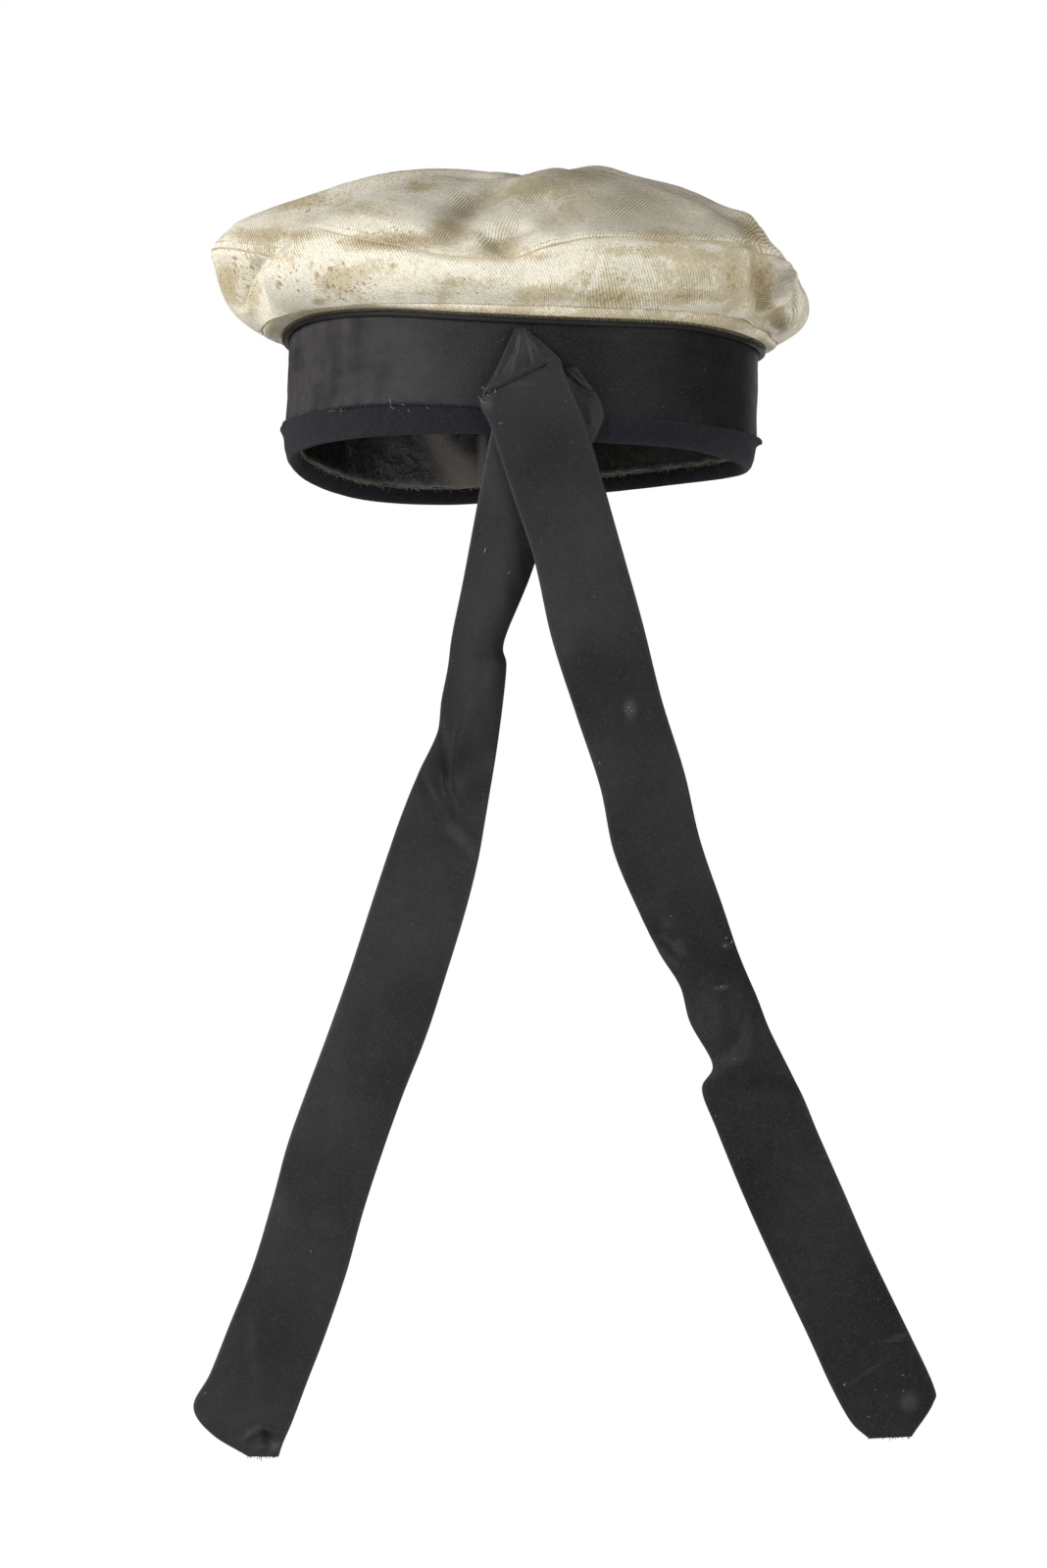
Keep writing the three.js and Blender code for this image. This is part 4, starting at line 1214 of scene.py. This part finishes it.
def hem_strip():
    azimuth = fine_azimuths(-180, 179.5)
    seam = folded_cover(azimuth, np.zeros(1))
    foot = on_band(azimuth, WELT_REACH + 0.3, band("cover", azimuth) + 0.1)
    t = np.linspace(0, 1, 14)
    strip = foot * (1 - t)[:, None] + seam * t[:, None]
    swollen = 0.5 + sum(height * bell(azimuth, middle, spread) for middle, spread, height in HEM_PUFFS)
    puff = swollen * np.sin(math.pi * t) + rough(strip, (0.3, 12, 11), (0.15, 3, 16)) - 0.5
    strip = strip + unit(strip - HEM_HEART) * puff[..., None]
    wear = np.clip(cover_wear(strip) + HEM_WEAR, 0, 1)
    uv = cloth_uv(azimuth * DEG * HEM_RADIUS, t * HEM_WIDE)
    cloth("hem_strip", strip, uv, wear, "twill_side", "cover_hem", COVER_THICK)


def cover_seams():
    """Turned edge of the side panels, cord and stitches of the top seam, and the upright seams."""
    azimuth = fine_azimuths(-180, 179.5)[:, 0]
    for name, (level, radius, sunk, wobble) in ROUND_SEAMS.items():
        line = folded_cover(azimuth, np.full_like(azimuth, level))
        line = line + unit(line - CROWN_HEART) * (rough(line, wobble)[:, None] - sunk)
        tubes(name, [line], radius, "seam", 8, closed=True)
    outward = unit(folded_cover(azimuth, np.ones_like(azimuth)) - CROWN_HEART)
    raised = folded_cover(azimuth, np.full_like(azimuth, 1.016)) + outward * 0.2
    stitches("top_stitches", raised, outward, 2.6, 1.9, 0.2, "cream_thread", 0.15)

    level = np.linspace(0.02, 0.98, 40)
    paths = []
    for place in (BACK_SEAM, FRONT_SEAM):
        p = folded_cover(leaning(np.full_like(level, place), level), level)
        paths.append(p - unit(p - CROWN_HEART) * 0.5)
    tubes("upright_seams", paths, 0.26, "seam")


# Band


def ribbon_round():
    azimuth = around(RIBBON_ROUND)
    t = np.linspace(0, 1, 36)
    low = band("strip", azimuth) - RIBBON_BELOW_STRIP
    z = low * (1 - t) + (band("cover", azimuth) - RIBBON_BELOW_COVER) * t
    flat = on_band(azimuth, 0.0, z)
    left = bell(azimuth, -168, 14) * smooth(0.55, 0.0, t)
    ripple = rough(flat * (0.35, 0.35, 1.6), (0.22, 7, 21)) + rough(flat, (0.14, 16, 22))
    ripple = ripple + left * 0.5 * np.sin(azimuth * 2.1 + 2 * t)
    p = on_band(azimuth, ripple - 0.2, z)

    # dust and painted sheen at the left, in streaks along the ribbon, and the middle, painted darker as
    # shade
    streaks = noise(np.stack([azimuth + 0 * z, 0 * z, 0.12 * z], axis=-1), 2.2, 25)
    dust_and_sheen = sum(amount * smooth(*ends, azimuth) for amount, *ends in RIBBON_DUST_AND_SHEEN)
    mottled = rough(p, (1, 9, 26)) + rough(p * (0.4, 0.4, 1.5), (0.6, 5, 27))
    worn = 0.08 + (0.7 + 0.35 * streaks + 0.3 * mottled) * dust_and_sheen + 0.3 * left + 0.08 * mottled
    wear = np.stack([worn] * 3, axis=-1)
    amount, left_ends, right_ends = RIBBON_PAINTED_SHADE
    wear[..., 1] = amount * smooth(*left_ends, azimuth) * smooth(*right_ends, azimuth)

    x, y = photo_pixels(p)
    column, wide, deep, *ends = RIBBON_SEAM
    pressed = deep * bell(x, column, wide) * smooth(*ends, y)
    for row, at, slope, wide, deep, *ends in RIBBON_FOLDS:
        fold = bell(y - row - slope * (x - at), 0, wide)
        pressed = pressed + deep * fold * smooth(*ends[:2], x) * smooth(*ends[2:], x)
    p = p - sideways(p) * (pressed * smooth(*BAND_SHOWN, p[..., 1]))[..., None]
    wear = np.clip(wear, 0, 1)
    uv = cloth_uv(azimuth * DEG * BAND_RADIUS, z)
    cloth("ribbon_round", p, uv, wear, "ribbon_band", "band_ribbon", RIBBON_THICK)


def welt_cord():
    azimuth = around(RIBBON_ROUND)
    section = np.linspace(0, 2 * math.pi, 19)
    reach = 0.4 + 1.3 * np.abs(np.cos(azimuth * DEG)) ** 5
    z = band("cover", azimuth) - WELT_BELOW_COVER + np.sin(section)
    p = on_band(azimuth, 0.9 + reach * np.cos(section), z)
    p = p + sideways(p) * rough(p, (0.15, 5, 24))[..., None]
    cloth("welt_cord", p, p[..., :2], np.full(p.shape, 0.2), "welt", "band_welt")


def wool_wall():
    azimuth = around(WOOL_ROUND)
    out, share, above = spline_rows(WOOL_SECTION, 4).T
    rim = band("rim", azimuth)
    z = rim + (band("strip", azimuth) - rim) * share + above
    z = np.minimum(z, band("cover", azimuth) - WOOL_BELOW_COVER)
    p = on_band(azimuth, out, z)
    lump = sum(height * bell(azimuth, middle, spread) for middle, spread, height in WOOL_LUMPS)
    rolled = bell(share, 0.92, 0.16) * (out > -0.2)
    drawn_in = 1.5 * bell(azimuth, -2, 12) * (share < 0.8)
    felt = rough(p, (0.22, 7, 31), (0.12, 2.5, 32)) * (above < 3)
    p = p + on_circle(azimuth, 1.0, 0.0) * (lump * rolled - drawn_in + felt)[..., None]
    uv = cloth_uv(azimuth * DEG * BAND_RADIUS, z)
    cloth("wool_wall", p, uv, np.full(p.shape, 0.2), "wool", "headband_wool")


def wool_threads():
    """Stitches and light threads on the wool strip, and the fuzz along its upper edge."""
    azimuth = np.linspace(*band_azimuth(WOOL_STITCHES), 120)
    path = on_band(azimuth, 0.95, band("strip", azimuth) - 0.95)
    stitches("wool_stitches", path, sideways(path), 2.7, 1.7, 0.24, "dark_thread", 0.2)

    chance = np.random.default_rng(51)
    x_pixels, y_pixels = np.transpose(LIGHT_THREADS)
    places = band_azimuth(x_pixels)
    starts = on_band(places, 1.15, band("strip", places) - 1.4 - (y_pixels - STRIP_ROW) * PIXEL_SIZE)
    look = (0.07, "pale_thread", "navy_wool", 52)
    scattered_threads(chance, "wool_threads", starts, (1, 0.1, 0.7), 0, (1.5, 3.6), *look)

    places = chance.uniform(-180, 180, EDGE_FUZZ)
    starts = on_band(places, 0.45, band("strip", places) + 0.05)
    directions = unit(sideways(starts) + 0.9 * UP)
    lengths = chance.uniform(0.4, 1.2, EDGE_FUZZ)
    loose_threads("wool_fuzz", starts, directions, lengths, 0.05, "dark_thread", 53)


def sweat_band():
    azimuth = around(WOOL_ROUND)
    t = np.linspace(0, 1, 30)
    ragged = rough(on_circle(azimuth, 95.0, 0.0), (0.5, 4, 41), (0.3, 1.5, 42))
    low = band("rim", azimuth) + SWEAT_ABOVE_RIM + ragged
    z = low * (1 - t) + (band("cover", azimuth) - SWEAT_BELOW_COVER) * t
    flat = on_band(azimuth, SWEAT_OUT, z)
    bend = rough(flat * (1, 1, 0.35), (0.7, 11, 43)) + rough(flat, (0.22, 4, 44))
    p = on_band(azimuth, SWEAT_OUT + bend * smooth(0, 0.1, 1 - t), z)

    x, y = photo_pixels(p)
    front = smooth(*INSIDE_SHOWN, p[..., 1])
    worn = np.zeros_like(z)
    # worn patch that is also a painted highlight, and painted sheen along the joint
    for column, row, slope, wide, at, growth, strength, *fade in WORN_AND_SHEEN_STREAKS:
        streak = bell(x, column + slope * (y - row), wide + growth * (y - at))
        worn = worn + strength * streak * smooth(*fade, y) * front
    edge = 0.9 * smooth(0.05, 0.0, t)
    wear = np.clip(np.maximum(worn, edge) + 0.07 * smooth(*DUSTY_INSIDE, x) * front, 0, 1)
    wear = np.stack([wear] * 3, axis=-1)
    uv = cloth_uv(azimuth * DEG * SWEAT_RADIUS, z)
    cloth("sweat_band", p, uv, wear, "oilcloth", "sweatband", SWEAT_THICK)


def sweat_fray():
    """Threads and the worn roll along the lower edge of the sweatband."""
    chance = np.random.default_rng(61)
    clumps = [chance.normal(centre, spread, count) for centre, spread, count in FRAYED_PLACES]
    places = np.concatenate([*clumps, chance.uniform(-180, 180, FRAYED_ROUND)])
    out = -4.75 + chance.normal(0, 0.15, len(places))
    starts = on_band(places, out, band("rim", places) + SWEAT_ABOVE_RIM - 0.2)
    look = (0.12, "pale_thread", "oilcloth", 62)
    scattered_threads(chance, "sweat_fray", starts, 0.5, -UP, (0.5, 1.8), *look)
    azimuth = around(700)[:, 0]
    out = -4.7 + rough(on_circle(azimuth, 90.0, 0.0), (0.2, 5, 63))
    roll = on_band(azimuth, out, band("rim", azimuth) + SWEAT_ABOVE_RIM - 0.1)
    roll = roll + rough(roll, (0.35, 3, 64))[:, None] * UP
    tubes("sweat_edge", [roll], 0.42, "worn_edge", closed=True)


# Streamers

# Columns of points across a streamer, steps between two rows of its table, the depths below the rim at which
# it hangs in a plane and at which it hangs free, and the heights between which its painted shade grows.
STREAMER_COLUMNS = 41
STREAMER_STEPS = 22
PLANE_BELOW = 45
FREE_BELOW = 40
LOWER_HALF = (-50, -190)


def back_face(x, z):
    """y of the band's back, which runs on as a plane below the rim."""
    curved = HALF_DEPTH * np.sqrt(1 - np.minimum(0.9, (x / HALF_WIDTH) ** 2))
    return -(curved + (HALF_DEPTH - curved) * smooth(0, PLANE_BELOW, -z))


def streamer(name, table, node, seed, painted_shade):
    left_x, left_z, right_x, right_z, lift, turn, bow = spline_rows(table, STREAMER_STEPS).T[..., None]
    across = np.linspace(0, 1, STREAMER_COLUMNS)
    x = left_x + (right_x - left_x) * across
    z = left_z + (right_z - left_z) * across
    forward = lift + bow * 4 * across * (1 - across) - turn * across
    p = np.stack([x, back_face(x, z) - forward, z], axis=-1)
    ripple = rough(p * (1, 1, 0.6), (0.5, 14, seed)) + rough(p, (0.15, 5, seed + 1))
    ripple = ripple * smooth(0, FREE_BELOW, -z) + rough(p, (0.1, 6, seed + 2))
    p[..., 1] += ripple - crease_height(RIBBON_CREASES, p)
    middle = p[:, STREAMER_COLUMNS // 2]
    steps = np.linalg.norm(np.diff(middle, axis=0, prepend=middle[:1]), axis=-1)
    uv = cloth_uv(across * RIBBON_WIDE, np.cumsum(steps)[:, None])
    edge = bell(np.minimum(across, 1 - across), 0, 0.03)
    wear = marked(0.15 + rough(p, (0.2, 30, seed + 3)) + 0.3 * edge, p, RIBBON_MARKS)
    # painted shade, growing towards the lower end
    lower = painted_shade * smooth(*LOWER_HALF, z)
    wear = np.stack([np.clip(wear, 0, 1), lower, 0 * lower], axis=-1)
    strip = cloth(name, p, uv, wear, "ribbon", node, STREAMER_THICK, 0.0, closed=False)
    return p


def knot_threads(right, left):
    """Threads, lint and frayed ends of both streamers, and the stitches across the knot."""
    chance = np.random.default_rng(71)
    for name, pixels, surface, longest, *look in (
        ("knot_threads", KNOT_THREADS, right, 2.6, 0.075, "pale_thread", "ribbon", 72),
        ("knot_fray", DARK_THREADS, left, 3.6, 0.13, "dark_thread", "ribbon", 73),
        ("ribbon_lint", LINT, np.concatenate([right, left]), 1.6, 0.12, "pale_thread", "ribbon", 74),
    ):
        starts = [nearest_point(surface, x, y) + BACK * 0.45 for x, y in pixels]
        sizes = (0.4 * longest, longest)
        scattered_threads(chance, name, starts, (1, 0.12, 0.8), 0.15 * BACK, sizes, *look)
    for name, surface, seed in (("right_end_fray", right, 75), ("left_end_fray", left, 76)):
        starts = surface[-1, chance.integers(0, surface.shape[1], FRAYED_END)] + 0.3 * UP
        look = (0.1, "dark_thread", "ribbon", seed)
        scattered_threads(chance, name, starts, 0.4, -UP, (0.3, 1.0), *look)
    line = spline_rows([nearest_point(right, x, y) + BACK * 0.1 for x, y in STITCHED_CREASE], 12)
    outward = np.broadcast_to(BACK, line.shape)
    stitches("knot_stitches", line, outward, 1.7, 1.4, 0.2, "seam_thread", 0.1)


# Studio


def camera():
    scene = bpy.context.scene
    lens = bpy.data.cameras.new("camera")
    lens.sensor_fit = "VERTICAL"
    lens.sensor_height = SENSOR_HEIGHT
    lens.lens = FOCAL_PIXELS / PHOTO_HEIGHT * SENSOR_HEIGHT
    lens.clip_end = 20
    placed = bpy.data.objects.new("camera", lens)
    placed.rotation_mode = "XYZ"
    c = math.cos(CAMERA_ROLL)
    s = math.sin(CAMERA_ROLL)
    right = np.array([1.0, 0, 0])
    axes = np.stack([c * right + s * CAMERA_UP, c * CAMERA_UP - s * right, -CAMERA_FORWARD], axis=1)
    placed.matrix_world = Matrix.Translation(tuple(CAMERA_PLACE * MM)) @ Matrix(axes.tolist()).to_4x4()
    scene.collection.objects.link(placed)
    scene.camera = placed
    scene.view_settings.view_transform = "Standard"
    scene.view_settings.look = "None"


def floor():
    turns = np.linspace(0, 2 * math.pi, FLOOR_SIDES, endpoint=False)
    corners = [(FLOOR_RADIUS * math.cos(a), FLOOR_RADIUS * math.sin(a), FLOOR_Z) for a in turns]
    mesh = bpy.data.meshes.new("floor")
    mesh.from_pydata(corners, [], [list(range(FLOOR_SIDES))])
    made = bpy.data.objects.new("floor", mesh)
    pale = bpy.data.materials.new("floor_pale")
    pale.use_nodes = True
    shader = pale.node_tree.nodes["Principled BSDF"]
    shader.inputs["Base Color"].default_value = (*FLOOR_PALE, 1)
    shader.inputs["Roughness"].default_value = 0.9
    mesh.materials.append(pale)
    bpy.context.scene.collection.objects.link(made)


def room_light():
    """Light of the room, weaker at the right and from above. The camera itself sees plain white."""
    n = Nodes(bpy.data.worlds.new("studio"))
    bpy.context.scene.world = n.owner
    way = n.node("ShaderNodeSeparateXYZ", {0: n.place.beside("Generated")})
    strength = [
        n.node("ShaderNodeMapRange", {"Value": value, **ends}, interpolation_type="SMOOTHSTEP")
        for value, ends in (
            (way, {"From Min": -1, "To Min": ROOM_LEFT, "To Max": ROOM_RIGHT}),
            (way.beside("Z"), {"From Min": 0, "To Min": 1.0, "To Max": ROOM_ABOVE}),
        )
    ]
    room = n.tree.nodes["Background"]
    n.put(strength[0] * strength[1], room.inputs["Strength"])
    white = n.node("ShaderNodeBackground", {"Color": (1, 1, 1)})
    seen = n.node("ShaderNodeLightPath", output="Is Camera Ray")
    either = n.node("ShaderNodeMixShader", {0: seen, 1: Value(n, room.outputs[0]), 2: white})
    n.put(either, n.tree.nodes["World Output"].inputs["Surface"])


def lamps():
    for name, place, size, power in LAMPS:
        light = bpy.data.lights.new(name, "AREA")
        light.shape = "SQUARE"
        light.size = size
        light.energy = power
        lamp = bpy.data.objects.new(name, light)
        lamp.location = place
        lamp.rotation_mode = "QUATERNION"
        lamp.rotation_quaternion = Vector(place).to_track_quat("Z", "Y")
        bpy.context.scene.collection.objects.link(lamp)


def build():
    crown_tip()
    side_panel("side_panel_left", "cover_side_left", FRONT_SEAM, BACK_SEAM + 360)
    side_panel("side_panel_right", "cover_side_right", BACK_SEAM, FRONT_SEAM)
    hem_strip()
    cover_seams()
    ribbon_round()
    welt_cord()
    wool_wall()
    wool_threads()
    sweat_band()
    sweat_fray()
    right = streamer("ribbon_end_right", RIGHT_STREAMER, "streamer_right", 51, PAINTED_SHADE_RIGHT)
    left = streamer("ribbon_end_left", LEFT_STREAMER, "streamer_left", 61, PAINTED_SHADE_LEFT)
    knot_threads(right, left)
    camera()
    floor()
    room_light()
    lamps()


build()
